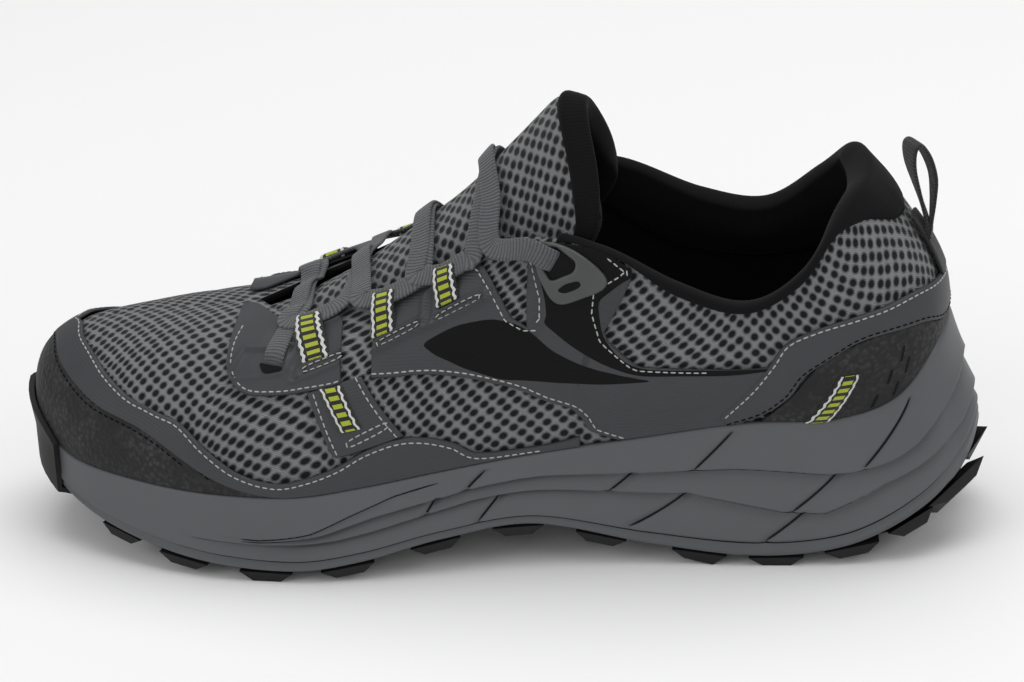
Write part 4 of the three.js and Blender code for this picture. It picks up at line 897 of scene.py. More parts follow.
def build_collar():
    """Roll: its section goes up the outer face a little proud, round the top, and down the padded
    inner face, whose depth is a sine of the height; then back up against the upper's wall."""
    at = np.linspace(-COLLAR_END, COLLAR_END, COLLAR_ROWS)
    station = np.abs(at)
    low, inside, pad = through(COLLAR, np.interp(station, COLLAR[:, 0], np.arange(len(COLLAR)))).T[1:]
    end = pillow((COLLAR_END - station) / 0.35)
    around = np.interp(station, fine_station, round_arc) * np.sign(at)
    columns = (turn_at(station, at) % 2, station, low, inside, pad * COLLAR_PAD, end)
    turn, station, low, inside, pad, end = (a[:, None] for a in columns)
    t = np.linspace(0, 1, COLLAR_SIDES)[None, :]
    behind = UPPER_WALL + GAP + PAD_CLEAR
    proud = GAP + COLLAR_SKIN * end
    depth = behind + pad * 0.75 * end + proud
    bulge = np.clip(0.4 * depth / V_MM, 0.012, None)
    top = COLLAR_TOP - COLLAR_ROLL * np.clip(COLLAR_FRONT - station, 0, 1)
    top = top - bulge + 0.012 - HEEL_DIP * np.exp(-((station / HEEL_ROUND) ** 2))
    outside = lay(turn, low + (top - low) * t, GAP + COLLAR_SKIN * pillow(3 * t) * end)
    bow = np.linspace(0, np.pi, COLLAR_SIDES)[None, 1:-1]
    over = lay(turn, np.minimum(top + np.sin(bow) * bulge, 1.02), proud - (1 - np.cos(bow)) / 2 * depth)
    belly = 0.75 + 0.25 * np.sin(np.pi * np.clip(t * 1.25, 0, 1) / 1.25) - 0.5 * t**3
    down = lay(turn, top - (top - inside) * (0.01 + 0.99 * t), -(behind + pad * belly * end))
    back = lay(turn, inside + (top - inside) * t, -behind)
    hem = lay(turn, top - (top - low) * t, GAP)
    points = np.concatenate([outside, over, down, back, hem], 1)
    uv = np.stack(np.meshgrid(around, np.arange(points.shape[1] + 1) * 1.6, indexing="ij"), -1)
    return net("collar_roll", points, uv, collar_knit, round_columns=True, capped=True)


collar_knit = lining_knit("brushed_collar_knit", "#101012")
collar = dressed(build_collar(), "knit", "collar")

# Toe cap, heel patches and toe trim: pieces cut from sheet and sewn flat on the mesh.
# The cap and the heel patches are black grained suede, the trim dark grey pressed film.
SUEDE_BLACK = "#19191a"
FILM_GREY = "#37383b"
LAYER_ONE = 0.55
OVER = 0.35
FILM = 1.1
EDGE_ROUND = 0.7
edge_steps = np.array([0.0, 0.1, 0.3, 0.6, 1.0]) * EDGE_ROUND


def grained_suede():
    """Finished suede: black and matt, with a pebble grain of 1.5 mm and fine nap, and greyer in patches
    on the grain's raised tops: partly rubbed wear, partly painted sheen."""
    material, tree = finish_of("grained_suede", Roughness=0.68, Specular_IOR_Level=0.3, Sheen_Weight=0.04)
    place = add(tree, "TexCoord").outputs["Object"]
    pebble = add(tree, "TexVoronoi", {"Vector": place, "Scale": 620.0, "Randomness": 1.0},
                 feature="SMOOTH_F1")
    nap = add(tree, "TexNoise", {"Vector": place, "Scale": 900.0, "Detail": 4.0})
    # rubbed wear and painted sheen: patches where the grain's raised tops turn grey
    rubbed_and_sheen = add(tree, "TexNoise", {"Vector": place, "Scale": 45.0, "Detail": 5.0, "Roughness": 0.65})
    amount = add(tree, "MapRange", {"Value": rubbed_and_sheen.outputs["Fac"], "From Min": 0.4, "From Max": 0.72,
                                    "To Max": 0.85})
    height = add(tree, "Math", {0: nap.outputs["Fac"], 1: 0.5, 2: pebble.outputs["Distance"]},
                 operation="MULTIPLY_ADD").outputs[0]
    worn = add(tree, "MapRange", {"Value": height, "From Min": 0.75, "From Max": 0.35, "To Min": 0.1,
                                  "To Max": 1.2})
    amount = add(tree, "Math", {0: amount.outputs[0], 1: worn.outputs[0]}, operation="MULTIPLY")
    tone = add(tree, "Mix", {0: amount.outputs[0], 6: linear(SUEDE_BLACK), 7: linear("#444446")},
               data_type="RGBA")
    bump = add(tree, "Bump", {"Height": height, "Strength": 0.8, "Distance": 0.0006}, invert=True)
    return wired(material, Base_Color=tone.outputs[2], Normal=bump.outputs[0])


def pressed_film(name, colour, rib=0.0, gloss=0.3):
    """Thermoplastic film pressed on the cloth: semi-matt and smooth, with moulded ribs 1.1 mm apart
    where rib is above 0, and a slight mottle."""
    material, tree = finish_of(name, Roughness=0.5, Specular_IOR_Level=gloss)
    cloud = add(tree, "TexNoise", {"Vector": uv_of(tree), "Scale": 0.09, "Detail": 4.0})
    fine = add(tree, "TexNoise", {"Vector": uv_of(tree), "Scale": 2.2, "Detail": 2.0})
    light = [min(1.0, 1.25 * c) for c in linear(colour)]
    tone = add(tree, "Mix", {0: cloud.outputs["Fac"], 6: linear(colour), 7: light}, data_type="RGBA")
    ribs = add(tree, "TexWave", {"Vector": uv_of(tree), "Scale": 0.29, "Distortion": 0.0},
               wave_profile="SIN", bands_direction="Y")
    height = add(tree, "Math", {0: ribs.outputs["Fac"], 1: rib, 2: fine.outputs["Fac"]},
                 operation="MULTIPLY_ADD")
    bump = add(tree, "Bump", {"Height": height.outputs[0], "Strength": 0.2, "Distance": 0.0003})
    return wired(material, Base_Color=tone.outputs[2], Normal=bump.outputs[0])


suede = grained_suede()
film = pressed_film("pressed_film", FILM_GREY)
ribbed_film = pressed_film("ribbed_film", FILM_GREY, 2.2)


def sheet(name, top, back, uv, material, weld=0.0):
    """Closed flat piece from the grids of its face and its back, which share a UV."""
    points = np.concatenate([top, back[:, ::-1]], 1)
    uv = np.concatenate([uv, uv[:, ::-1], uv[:, :1]], 1)
    return net(name, points, uv, material, round_columns=True, weld=weld, capped=True)


def strip(name, rows, sides, material, lift=LAYER_ONE, thick=FILM, smooth=True, relief=None, step=1.3):
    """Strip cut along the skin. Each row of its table is (low station, low height, high station,
    high height) and rows are blended along it. Its cells are about step mm wide, its edges round
    down to the skin, and it has a flat back so that it is closed."""
    rows = np.array(rows, float)
    whole = rows if len(sides) == 1 else np.vstack([rows, rows[::-1][1:]])
    last = len(whole) - 1
    middle = lay(whole[:, 0] / LAST_STATION, (whole[:, 1] + whole[:, 3]) / 2)
    length = np.linalg.norm(np.diff(middle[:len(rows)], axis=0), axis=1).sum() * len(sides)
    s = np.linspace(0, last, max(12, int(length / step)))
    edge = edge_steps / length * last
    inside = s[(s > edge[-1]) & (s < last - edge[-1])]
    s = np.concatenate([edge[:-1], inside, (last - edge[:-1])[::-1]])
    along = through(whole, s) if smooth else straight(whole, s)
    side = np.where(s <= len(rows) - 1, sides[0], sides[-1])[:, None]
    low, high = along[:, 0:2], along[:, 2:4]
    foot, head = (lay(turn_at(end[:, 0], side[:, 0]), end[:, 1]) for end in (low, high))
    tall = np.linalg.norm(foot - head, axis=1)
    inner = np.linspace(0, 1, max(6, int(tall.max() / step)))[1:-1]
    reach = np.clip(edge_steps[:, None] / np.maximum(tall, 1e-3), 0, 0.45)
    mids = reach[-1] + (1 - 2 * reach[-1]) * inner[:, None]
    share = np.concatenate([reach, mids, 1 - reach[::-1]], 0).T
    at, v = (low[:, k:k + 1] + (high[:, k:k + 1] - low[:, k:k + 1]) * share for k in (0, 1))
    turn = turn_at(at, side)
    to_end = np.minimum(s, last - s)[:, None] / last * length
    to_side = np.minimum(share, 1 - share) * tall[:, None]
    height = thick * pillow(np.minimum(to_end, to_side) / EDGE_ROUND)
    if relief:
        height = height + relief(at, v) * (height > 0.5 * thick)
    uv = np.stack([turn * LENGTH, share * tall[:, None]], -1)
    return sheet(name, lay(turn, v, lift + height), lay(turn, v, lift), uv, material, 0.004)


TOE_CAP = [
    (9.3, 0.0, 9.4, 0.022), (9.9, 0.0, 9.9, 0.08), (10.2, 0.0, 10.2, 0.155), (10.6, 0.0, 10.6, 0.225),
    (11.1, 0.0, 11.1, 0.275), (11.8, 0.0, 11.8, 0.33), (12.6, 0.0, 12.6, 0.44), (13.4, 0.0, 13.4, 0.565),
    (14, 0.0, 14, 0.61)]
TOE_TRIM = [
    (5.5, 0.0, 5.5, 0.05), (5.9, 0.0, 5.86, 0.03), (6.5, 0.0, 6.5, 0.042), (6.8, 0.0, 6.8, 0.1),
    (7.15, 0.0, 7.15, 0.145), (7.5, 0.0, 7.5, 0.165), (7.9, 0.0, 7.9, 0.15), (8.3, 0.0, 8.3, 0.105),
    (8.8, 0.0, 8.8, 0.075), (9.2, 0.0, 9.2, 0.062), (9.6, 0.025, 9.6, 0.105), (10.0, 0.085, 10.0, 0.205),
    (10.4, 0.16, 10.4, 0.305), (10.8, 0.22, 10.8, 0.33), (11.2, 0.255, 11.2, 0.36),
    (11.7, 0.295, 11.7, 0.44), (12.3, 0.37, 12.3, 0.55), (12.8, 0.44, 12.8, 0.63),
    (13.4, 0.53, 13.4, 0.735), (14, 0.575, 14, 0.79)]
HEEL_COUNTER = [
    (4.15, 0.0, 4.25, 0.07), (3.8, 0.06, 3.98, 0.24), (3.5, 0.18, 3.7, 0.44), (3.2, 0.34, 3.42, 0.585),
    (2.6, 0.39, 2.9, 0.59), (2.0, 0.33, 2.2, 0.49), (1.4, 0.22, 1.5, 0.39), (0.7, 0.08, 0.7, 0.28),
    (0, 0.03, 0, 0.23)]
HEEL_PATCH = [
    (0.02, 0.0, 0.02, 0.03), (0.75, 0.0, 0.75, 0.09), (1.2, 0.0, 1.2, 0.185), (1.7, 0.0, 1.7, 0.29),
    (2.3, 0.0, 2.3, 0.37), (2.9, 0.0, 2.9, 0.4), (3.25, 0.0, 3.2, 0.33), (3.6, 0.0, 3.5, 0.18),
    (3.85, 0.0, 3.75, 0.05)]
both = (-1, 1)
dressed(strip("toe_cap_suede", TOE_CAP, both, suede), "suede", "toe_cap")
dressed(strip("toe_trim_film", TOE_TRIM, both, ribbed_film, LAYER_ONE + OVER), "film", "toe_trim")
dressed(strip("heel_counter_film", HEEL_COUNTER, both, film, LAYER_ONE + OVER), "film", "heel_counter")
for way, word in SIDES:
    dressed(strip(f"heel_patch_suede_{word}", HEEL_PATCH, (way,), suede), "suede", f"heel_patch_{word}")

# Side film: one pressed sheet from the heel to the eyestay, cut round the mesh windows, with the
# eyestay's moulded frames; the front eyestay is a separate tab. The sheet is ribbed grey film; the tab is
# drawn in plain grey film.
QUARTER = [
    (4.0, 0.0, 3.62, 0.43), (4.5, 0.0, 4.4, 0.452), (5.15, 0.0, 5.12, 0.445), (5.42, 0.07, 5.5, 0.56),
    (5.5, 0.14, 5.68, 0.68), (5.56, 0.17, 5.74, 0.77), (5.6, 0.185, 5.56, 0.87), (5.64, 0.195, 5.5, 0.92),
    (5.7, 0.205, 5.75, 0.95), (5.8, 0.22, 6.3, 0.955), (5.9, 0.235, 6.85, 0.965), (5.97, 0.25, 6.6, 0.87),
    (6.05, 0.265, 6.3, 0.72), (6.12, 0.28, 6.18, 0.62), (6.25, 0.3, 6.22, 0.585), (6.4, 0.32, 6.36, 0.585),
    (6.6, 0.345, 6.6, 0.63), (6.85, 0.375, 6.95, 0.76), (7.15, 0.405, 7.35, 0.9), (7.35, 0.425, 7.6, 0.965),
    (7.6, 0.445, 8.0, 0.965), (7.85, 0.46, 8.4, 0.96), (8.12, 0.478, 8.78, 0.95)]
FRONT_TAB = [
    (8.55, 0.49, 9.0, 0.80), (8.62, 0.478, 9.12, 0.86), (8.9, 0.475, 9.35, 0.9), (9.4, 0.475, 9.75, 0.93),
    (9.8, 0.5, 10.3, 0.955), (10.15, 0.6, 10.7, 0.965), (10.4, 0.72, 10.88, 0.95),
    (10.55, 0.82, 10.95, 0.93)]
STRAP_PATCH = [
    (7.42, 0.17, 8.28, 0.5), (7.6, 0.16, 8.42, 0.5), (7.9, 0.15, 8.62, 0.49), (8.25, 0.14, 8.86, 0.48),
    (8.38, 0.15, 9.0, 0.47)]
# Moulded frames on the film: (station, height, half length in mm, half width in mm, lean)
FRAMES = [
    (8.96, 0.61, 6.6, 2.7, 0.38), (8.06, 0.675, 6.8, 2.7, 0.45), (7.38, 0.725, 6.8, 2.7, 0.4),
    (9.78, 0.66, 7.5, 7.0, 0.12), (9.08, 0.7, 9.0, 11.5, 0.38), (8.2, 0.765, 9.0, 11.0, 0.42),
    (7.5, 0.81, 9.0, 9.5, 0.4)]
FRAME_WALL = 0.8
FRAME_PROUD = 0.8
FRAME_HOLLOW = 0.45
FRAME_CORNER = 1.8
TAB_OVER = 0.3
PATCH_THICK = 0.8


def moulded_frames(at, v):
    """Raised lines on the film: a ridge of round section along each rounded rectangle's edge. The
    wide rectangles are pressed in a little inside it."""
    height = np.zeros_like(v)
    for station, middle, half_long, half_wide, lean in FRAMES:
        x = (station - at) * STATION_MM
        y = (v - middle) * V_MM
        p = np.abs(x * math.cos(lean) + y * math.sin(lean)) - half_long + FRAME_CORNER
        q = np.abs(-x * math.sin(lean) + y * math.cos(lean)) - half_wide + FRAME_CORNER
        beyond = np.hypot(np.clip(p, 0, None), np.clip(q, 0, None))
        d = beyond + np.minimum(np.maximum(p, q), 0) - FRAME_CORNER
        height += FRAME_PROUD * np.exp(-(d / FRAME_WALL) ** 2)
        if half_wide > 4:
            height -= FRAME_HOLLOW * (0.5 - 0.5 * np.tanh((d + 0.6) / 0.3))
    return height


for way, word in SIDES:
    quarter = strip(f"quarter_film_{word}", QUARTER, (way,), ribbed_film, smooth=False,
                    relief=moulded_frames, step=0.65)
    dressed(quarter, "film", f"quarter_overlay_{word}", f"eyestay_{word}")
    tab = strip(f"front_tab_film_{word}", FRONT_TAB, (way,), film, LAYER_ONE + TAB_OVER,
                relief=moulded_frames, step=0.5)
    dressed(tab, "film", f"front_eyestay_{word}")
    patch = strip(f"strap_patch_film_{word}", STRAP_PATCH, (way,), ribbed_film, thick=PATCH_THICK)
    dressed(patch, "film", f"strap_patch_{word}")

# Printed panels: gloss black ink screened on the side film, a few hundredths of a millimetre thick.
# The same black sheet is painted shade at the front eyelet's hole, the heel patch's slots and the plate's
# slot, standing in for the dark inside of each opening.
INK_BLACK = "#050506"
INK_THICK = 0.08
HOLE_SHADE_THICK = 0.06
ON_FILM = LAYER_ONE + FILM
SKIN_MM = np.array([STATION_MM, V_MM])


def outline(corners, radius, count):
    """Closed outline through corners in (station, height): each corner is an arc of a parabola that
    starts at radius mm from it, and the whole is resampled at even distances."""
    p = np.array(corners, float) * SKIN_MM
    ways = np.roll(p, 1, 0) - p, np.roll(p, -1, 0) - p
    a, b = (p + d * np.minimum(radius / np.linalg.norm(d, axis=1), 0.45)[:, None] for d in ways)
    t = np.linspace(0, 1, 9)[None, :, None]
    arcs = (a[:, None] * (1 - t) ** 2 + 2 * p[:, None] * t * (1 - t) + b[:, None] * t**2).reshape(-1, 2)
    loop = np.vstack([arcs, arcs[:1]])
    far = spans(loop, 0)
    return straight(loop, np.linspace(0, far[-1], count, endpoint=False), far) / SKIN_MM


def shield(name, corners, way, material, lift, thick, radius=2.0, centre=None, count=120, rings=14,
           hole=None):
    """Flat piece inside a closed outline, drawn as rings that shrink toward its centre, or toward a
    hole's outline, (corners, radius). Its edges round down to its back."""
    rim = outline(corners, radius, count)
    inner = np.broadcast_to(centre if centre else rim.mean(0), rim.shape)
    if hole:
        inner = outline(*hole, count)
        start = np.argmin(np.linalg.norm((inner - rim[0]) * SKIN_MM, axis=1))
        inner = np.roll(inner, -start, 0)
    reach = np.linalg.norm((rim - inner) * SKIN_MM, axis=1)
    near = edge_steps[:, None] / reach
    steps = near[-1] + (1 - near[-1] * (2 if hole else 1)) * np.linspace(0, 1, rings)[1:, None]
    share = np.concatenate([near, steps] + ([1 - near[::-1][1:]] if hole else []), 0)
    d = np.minimum(share, 1 - share if hole else share) * reach
    height = thick * pillow(d / min(EDGE_ROUND, thick * 1.2))
    flat = rim + (inner - rim) * share[..., None]
    turn, v = turn_at(flat[..., 0], way), flat[..., 1]
    points = np.concatenate([lay(turn, v, lift + height), lay(turn, v, lift)[::-1]], 0)
    uv = np.concatenate([flat, flat[::-1]], 0) * SKIN_MM
    uv = np.concatenate([uv, uv[:, :1]], 1)
    if hole:
        uv = np.concatenate([uv, uv[:1]], 0)
    return net(name, points, uv, material, bool(hole), True, 0.004)


# black print ink, also used as the painted shade of the small openings
ink_and_hole_shade = pressed_film("screen_ink_and_hole_shade", INK_BLACK, 1.6, 0.14)
BADGE_PANEL = [
    (7.62, 0.585), (7.3, 0.63), (6.84, 0.635), (6.5, 0.6), (6.26, 0.555), (5.95, 0.47), (5.66, 0.42),
    (5.3, 0.385), (4.9, 0.365), (5.4, 0.325), (5.8, 0.32), (6.4, 0.345), (6.9, 0.42), (7.35, 0.51)]
UPPER_PANEL = [
    (3.72, 0.412, 3.68, 0.43), (4.1, 0.405, 4.05, 0.446), (4.6, 0.405, 4.5, 0.451),
    (5.05, 0.395, 5.12, 0.444), (5.33, 0.42, 5.49, 0.55), (5.58, 0.46, 5.67, 0.675),
    (5.82, 0.51, 5.73, 0.77), (6.02, 0.56, 5.56, 0.868), (6.17, 0.6, 5.5, 0.92), (6.2, 0.64, 5.76, 0.95),
    (6.3, 0.71, 6.3, 0.955), (6.47, 0.8, 6.6, 0.962), (6.62, 0.875, 6.84, 0.965)]
EYELET_HOLE = [(9.82, 0.665), (9.38, 0.612), (9.66, 0.595)]
HEEL_SLOTS = [(1.8, 0.18), (1.76, 0.11), (2.1, 0.125), (2.02, 0.05), (2.4, 0.045)]
for way, word in SIDES:
    badge = shield(f"badge_panel_{word}", BADGE_PANEL, way, ink_and_hole_shade, ON_FILM, INK_THICK, 2.5, (6.5, 0.47), 160)
    dressed(badge, "film")
    dressed(strip(f"upper_panel_{word}", UPPER_PANEL, (way,), ink_and_hole_shade, ON_FILM, INK_THICK), "film")
    # painted shade: thin black sheets at the front eyelet's hole and the heel patch's slots stand in for
    # their shaded insides
    hole_shade = shield(f"eyelet_hole_shade_{word}", EYELET_HOLE, way, ink_and_hole_shade, ON_FILM + 0.25, HOLE_SHADE_THICK, count=40, rings=5)
    dressed(hole_shade, "film")
    for k, (at, v) in enumerate(HEEL_SLOTS):
        slot = [(at + 0.09, v - 0.025), (at + 0.03, v - 0.03), (at - 0.09, v + 0.025), (at - 0.03, v + 0.03)]
        hole_shade = shield(f"heel_slot_shade_{k}_{word}", slot, way, ink_and_hole_shade, ON_FILM, HOLE_SHADE_THICK, 1.0, count=24, rings=4)
        dressed(hole_shade, "suede")

# Webbing: five narrow tapes a side, woven black with two white cords and lime rungs between them.
# Three are lace loops, folded over the lace and sewn to the film; one is on the strap, one at the heel.
WEB_BLACK = "#0b0b0c"
WEB_WHITE = "#c9cbc6"
WEB_LIME = "#a2ab27"
RUNG_PITCH = 2.9
RUNG_REACH = 1.8
RUNG_LONG = 0.1
CORD_AT = 3.0
CORD_WAVE = 0.22
CORD_HALF = 0.45
TAPE_HALF = 4.1


def woven_tape():
    """Jacquard tape read in its own millimetres: u along, v from the middle. Rungs are where |v| is
    small and the phase of u is below a share; a cord is where |v| is near a wavy line."""
    material, tree = finish_of("jacquard_tape", Roughness=0.75, Sheen_Weight=0.2)

    def math_of(kind, a, b=0.0, c=0.0):
        return add(tree, "Math", {0: a, 1: b, 2: c}, operation=kind).outputs[0]

    uv = add(tree, "SeparateXYZ", {0: uv_of(tree)})
    along, across = uv.outputs[0], math_of("ABSOLUTE", uv.outputs[1])
    phase = math_of("MULTIPLY", along, 2 * math.pi / RUNG_PITCH)
    in_phase = math_of("GREATER_THAN", math_of("COSINE", phase), -RUNG_LONG)
    rung = math_of("MULTIPLY", in_phase, math_of("LESS_THAN", across, RUNG_REACH))
    wavy = math_of("MULTIPLY_ADD", math_of("SINE", phase), CORD_WAVE, CORD_AT)
    cord = math_of("COMPARE", across, wavy, CORD_HALF)
    with_rungs = add(tree, "Mix", {0: rung, 6: linear(WEB_BLACK), 7: linear(WEB_LIME)}, data_type="RGBA")
    tone = add(tree, "Mix", {0: cord, 6: with_rungs.outputs[2], 7: linear(WEB_WHITE)}, data_type="RGBA")
    weave = add(tree, "TexWave", {"Vector": uv_of(tree), "Scale": 0.5, "Distortion": 0.4},
                bands_direction="DIAGONAL")
    height = math_of("ADD", math_of("MULTIPLY", weave.outputs["Fac"], 0.5), math_of("ADD", rung, cord))
    bump = add(tree, "Bump", {"Height": height, "Strength": 0.7, "Distance": 0.0004})
    return wired(material, Base_Color=tone.outputs[2], Normal=bump.outputs[0])


tape_finish = woven_tape()
LACE_WIDE = 7.0
LACE_THICK = 1.3
TAPE_THICK = 0.95
# Name: two low corners and two high ones in (station, height), then its lift over the lace in mm
TAPES = {
    "lace_loop_1": ((8.9, 0.64), (9.24, 0.62), (9.42, 0.915), (9.78, 0.925), 1.9),
    "lace_loop_2": ((8.14, 0.70), (8.42, 0.68), (8.5, 0.93), (8.8, 0.935), 1.9),
    "lace_loop_3": ((7.44, 0.77), (7.7, 0.75), (7.8, 0.97), (8.1, 0.975), 1.9),
    "strap_webbing": ((8.0, 0.25), (8.3, 0.25), (8.52, 0.475), (8.84, 0.475), 0.0),
    "heel_webbing": ((3.06, 0.0), (3.38, 0.0), (2.55, 0.225), (2.86, 0.26), 0.0),
}
TAPE_STEPS = 34
TAPE_CELLS = 12


def build_tape(name, corners, rise, side):
    """Tape between four corners on the skin: its lift follows a smooth step up over the lace and a
    quarter circle down at the fold, and its long edges round off."""
    t = np.linspace(0, 1, TAPE_STEPS)[:, None]
    w = np.linspace(-1, 1, TAPE_CELLS)[None, :]
    low_a, low_b, high_a, high_b = np.array(corners)
    low, high = (a + (b - a) * ((w + 1) / 2)[..., None] for a, b in ((low_a, low_b), (high_a, high_b)))
    flat = low + (high - low) * t[..., None]
    turn, v = turn_at(flat[..., 0], side), flat[..., 1]
    up = np.clip((t - 0.12) / 0.5, 0, 1)
    fold = pillow((1 - t) / 0.14) if rise else 1.0
    lift = ON_FILM + rise * up * up * (3 - 2 * up) * fold
    edge = np.sqrt(np.clip(1 - (np.clip(np.abs(w) - 0.82, 0, None) / 0.18) ** 2, 0.03, 1))
    body = TAPE_THICK * edge * (0.35 + 0.65 * np.minimum(1, 20 * np.minimum(t, 1 - t)))
    top = lay(turn, v, lift + body)
    long = np.linalg.norm(np.diff(top[:, TAPE_CELLS // 2], axis=0), axis=1).sum()
    uv = np.stack([t * long + 0 * w, w * TAPE_HALF + 0 * t], -1)
    return sheet(name, top, lay(turn, v, lift), uv, tape_finish)


for way, word in SIDES:
    for name, (*corners, rise) in TAPES.items():
        dressed(build_tape(f"{name}_tape_{word}", corners, rise, way), "webbing", f"{name}_{word}")

# Eyelet plate: grey plastic moulded in one piece, riveted and sewn at the top of the eyestay.
# It has a large window that the lace goes in by, and a small oval slot.
PLATE_GREY = "#474b49"
PLATE_THICK = 1.3
PLATE = [(6.78, 0.95), (6.6, 0.968), (6.18, 0.935), (5.8, 0.875), (5.7, 0.835), (5.74, 0.78),
         (6.04, 0.685), (6.2, 0.7), (6.54, 0.825)]
PLATE_WINDOW = [(6.66, 0.925), (6.44, 0.94), (6.12, 0.885), (6.1, 0.84), (6.32, 0.79), (6.48, 0.845)]
PLATE_SLOT = [(6.2, 0.752), (6.14, 0.785), (6.0, 0.81), (5.95, 0.79), (6.0, 0.765), (6.1, 0.742)]


def moulded_plastic():
    """Injection-moulded plastic: satin, grey-green, with fine sandblast texture."""
    material, tree = finish_of("moulded_plate", Roughness=0.38, IOR=1.46)
    grit = add(tree, "TexNoise", {"Vector": uv_of(tree), "Scale": 3.0, "Detail": 3.0})
    cloud = add(tree, "TexNoise", {"Vector": uv_of(tree), "Scale": 0.12, "Detail": 3.0})
    tone = add(tree, "Mix", {0: cloud.outputs["Fac"], 6: linear("#3d413f"), 7: linear(PLATE_GREY)},
               data_type="RGBA")
    bump = add(tree, "Bump", {"Height": grit.outputs["Fac"], "Strength": 0.15, "Distance": 0.0002})
    return wired(material, Base_Color=tone.outputs[2], Normal=bump.outputs[0])


plate_finish = moulded_plastic()
for way, word in SIDES:
    plate = shield(f"eyelet_plate_moulded_{word}", PLATE, way, plate_finish, ON_FILM, PLATE_THICK, 4.0,
                   (6.38, 0.87), rings=12, hole=(PLATE_WINDOW, 1.5))
    dressed(plate, "plate", f"eyelet_plate_{word}")
    # painted shade: a thin black sheet stands in for the shaded inside of the plate's oval slot
    slot_shade = shield(f"plate_slot_shade_{word}", PLATE_SLOT, way, ink_and_hole_shade, ON_FILM + PLATE_THICK - 0.02, HOLE_SHADE_THICK, 1.0,
                  count=40, rings=5)
    dressed(slot_shade, "plate")

# Pull loop: ribbed black tape 9 mm wide, folded into a teardrop and sewn in behind the heel. A
# shorter piece of the same tape covers the seam up the middle of the heel.
LOOP_TALL = 31.0
LOOP_WIDE = 9.0
LOOP_THICK = 1.35
LOOP_FOOT = 0.45
PULL_SWING = 0.6
# Middle line of the tape: (behind the heel's foot point, up) as shares of its height
LOOP_LINE = np.array([
    (0.045, -0.04), (0.06, 0.14), (0.083, 0.36), (0.088, 0.58), (0.03, 0.79), (-0.06, 0.935),
    (-0.115, 0.955), (-0.15, 0.89), (-0.14, 0.72), (-0.085, 0.5), (-0.02, 0.26), (0.02, 0.08),
    (0.03, -0.04)])


def ribbed_tape(name, colour, light, pitch, bend):
    """Flat woven tape: raised cross ribs that bend back toward the edges, matt yarn."""
    material, tree = finish_of(name, Roughness=0.8, Sheen_Weight=0.2, Sheen_Roughness=0.5)
    uv = add(tree, "SeparateXYZ", {0: uv_of(tree)})
    square = add(tree, "Math", {0: uv.outputs[1], 1: uv.outputs[1]}, operation="MULTIPLY")
    bent = add(tree, "Math", {0: square.outputs[0], 1: bend, 2: uv.outputs[0]}, operation="MULTIPLY_ADD")
    phase = add(tree, "Math", {0: bent.outputs[0], 1: 2 * math.pi / pitch}, operation="MULTIPLY")
    rib = add(tree, "Math", {0: phase.outputs[0]}, operation="SINE")
    grain = add(tree, "TexNoise", {"Vector": uv_of(tree), "Scale": 2.4, "Detail": 3.0})
    mix = add(tree, "Math", {0: rib.outputs[0], 1: 0.3, 2: grain.outputs["Fac"]}, operation="MULTIPLY_ADD")
    tone = add(tree, "Mix", {0: mix.outputs[0], 6: linear(colour), 7: linear(light)}, data_type="RGBA")
    bump = add(tree, "Bump", {"Height": mix.outputs[0], "Strength": 0.8, "Distance": 0.0005})
    return wired(material, Base_Color=tone.outputs[2], Normal=bump.outputs[0])


loop_finish = ribbed_tape("ribbed_black_tape", "#040405", "#121214", 1.2, 0.0)
line = through(LOOP_LINE, np.linspace(0, len(LOOP_LINE) - 1, 90))
foot = lay(np.zeros(1), np.full(1, LOOP_FOOT), ON_FILM)[0]
loop_path = np.stack([foot[0] + line[:, 0] * LOOP_TALL, 0 * line[:, 0], foot[2] + line[:, 1] * LOOP_TALL], 1)
turned = unit(np.gradient(loop_path, axis=0))
loop_normal = np.stack([-turned[:, 2], 0 * turned[:, 1], turned[:, 0]], 1)
swing = PULL_SWING * np.clip(line[:, 1], 0, 1)
for vectors, middle in ((loop_path, np.array([foot[0], 0, 0])), (loop_normal, np.zeros(3))):
    local = vectors - middle
    vectors[:, 0] = local[:, 0] * np.cos(swing) - local[:, 1] * np.sin(swing) + middle[0]
    vectors[:, 1] = local[:, 0] * np.sin(swing) + local[:, 1] * np.cos(swing)
pull = ribbon("pull_tape", loop_path, loop_normal, LOOP_WIDE, LOOP_THICK, loop_finish)
dressed(pull, "tape", "pull_loop")
heel_rows = [(0.3, 0.235, 0.26, 0.56), (0, 0.23, 0, 0.57)]
dressed(strip("heel_tape_black", heel_rows, both, loop_finish, ON_FILM - 0.2, 1.0), "tape", "heel_tape")

# Lace: one flat woven ribbon of polyester, threaded through the front hole, the three loops and the
# plate of each side. Each strap crosses over the tongue to the next eyelet of the other side.
LACE_DARK = "#2f3033"
LACE_LIGHT = "#616366"
# Eyelets from the front: station and height where a strap passes
EYELETS = [(9.62, 0.64), (9.57, 0.885), (8.62, 0.9), (7.93, 0.935), (6.4, 0.88)]
LACE_CLEAR = 1.2
LACE_STEPS = 90
EDGE_FALL = 14.0
tongue_lines = np.linspace(0, TONGUE_END, 400)


def over_tongue(x, b, lift):
    """Place over the tongue at a given x and share b of its half width, no lower than the eyestay
    edges beside it; with the tongue's normal."""
    face = tongue_point(tongue_lines, np.full(len(tongue_lines), b))
    s, b = np.array([np.interp(x, face[:, 0], tongue_lines)]), np.array([b])
    normal = tongue_normal(s, b)[0]
    point = tongue_point(s, b)[0] + normal * lift
    along = 0.5 - x / LENGTH
    edge = max(column_along(rows, 2, along) for rows in (CREST_OUTER, CREST_INNER)) * COLLAR_HEIGHT
    point[2] = max(point[2], edge + lift - EDGE_FALL * (1 - b[0] * b[0]))
    return point, normal


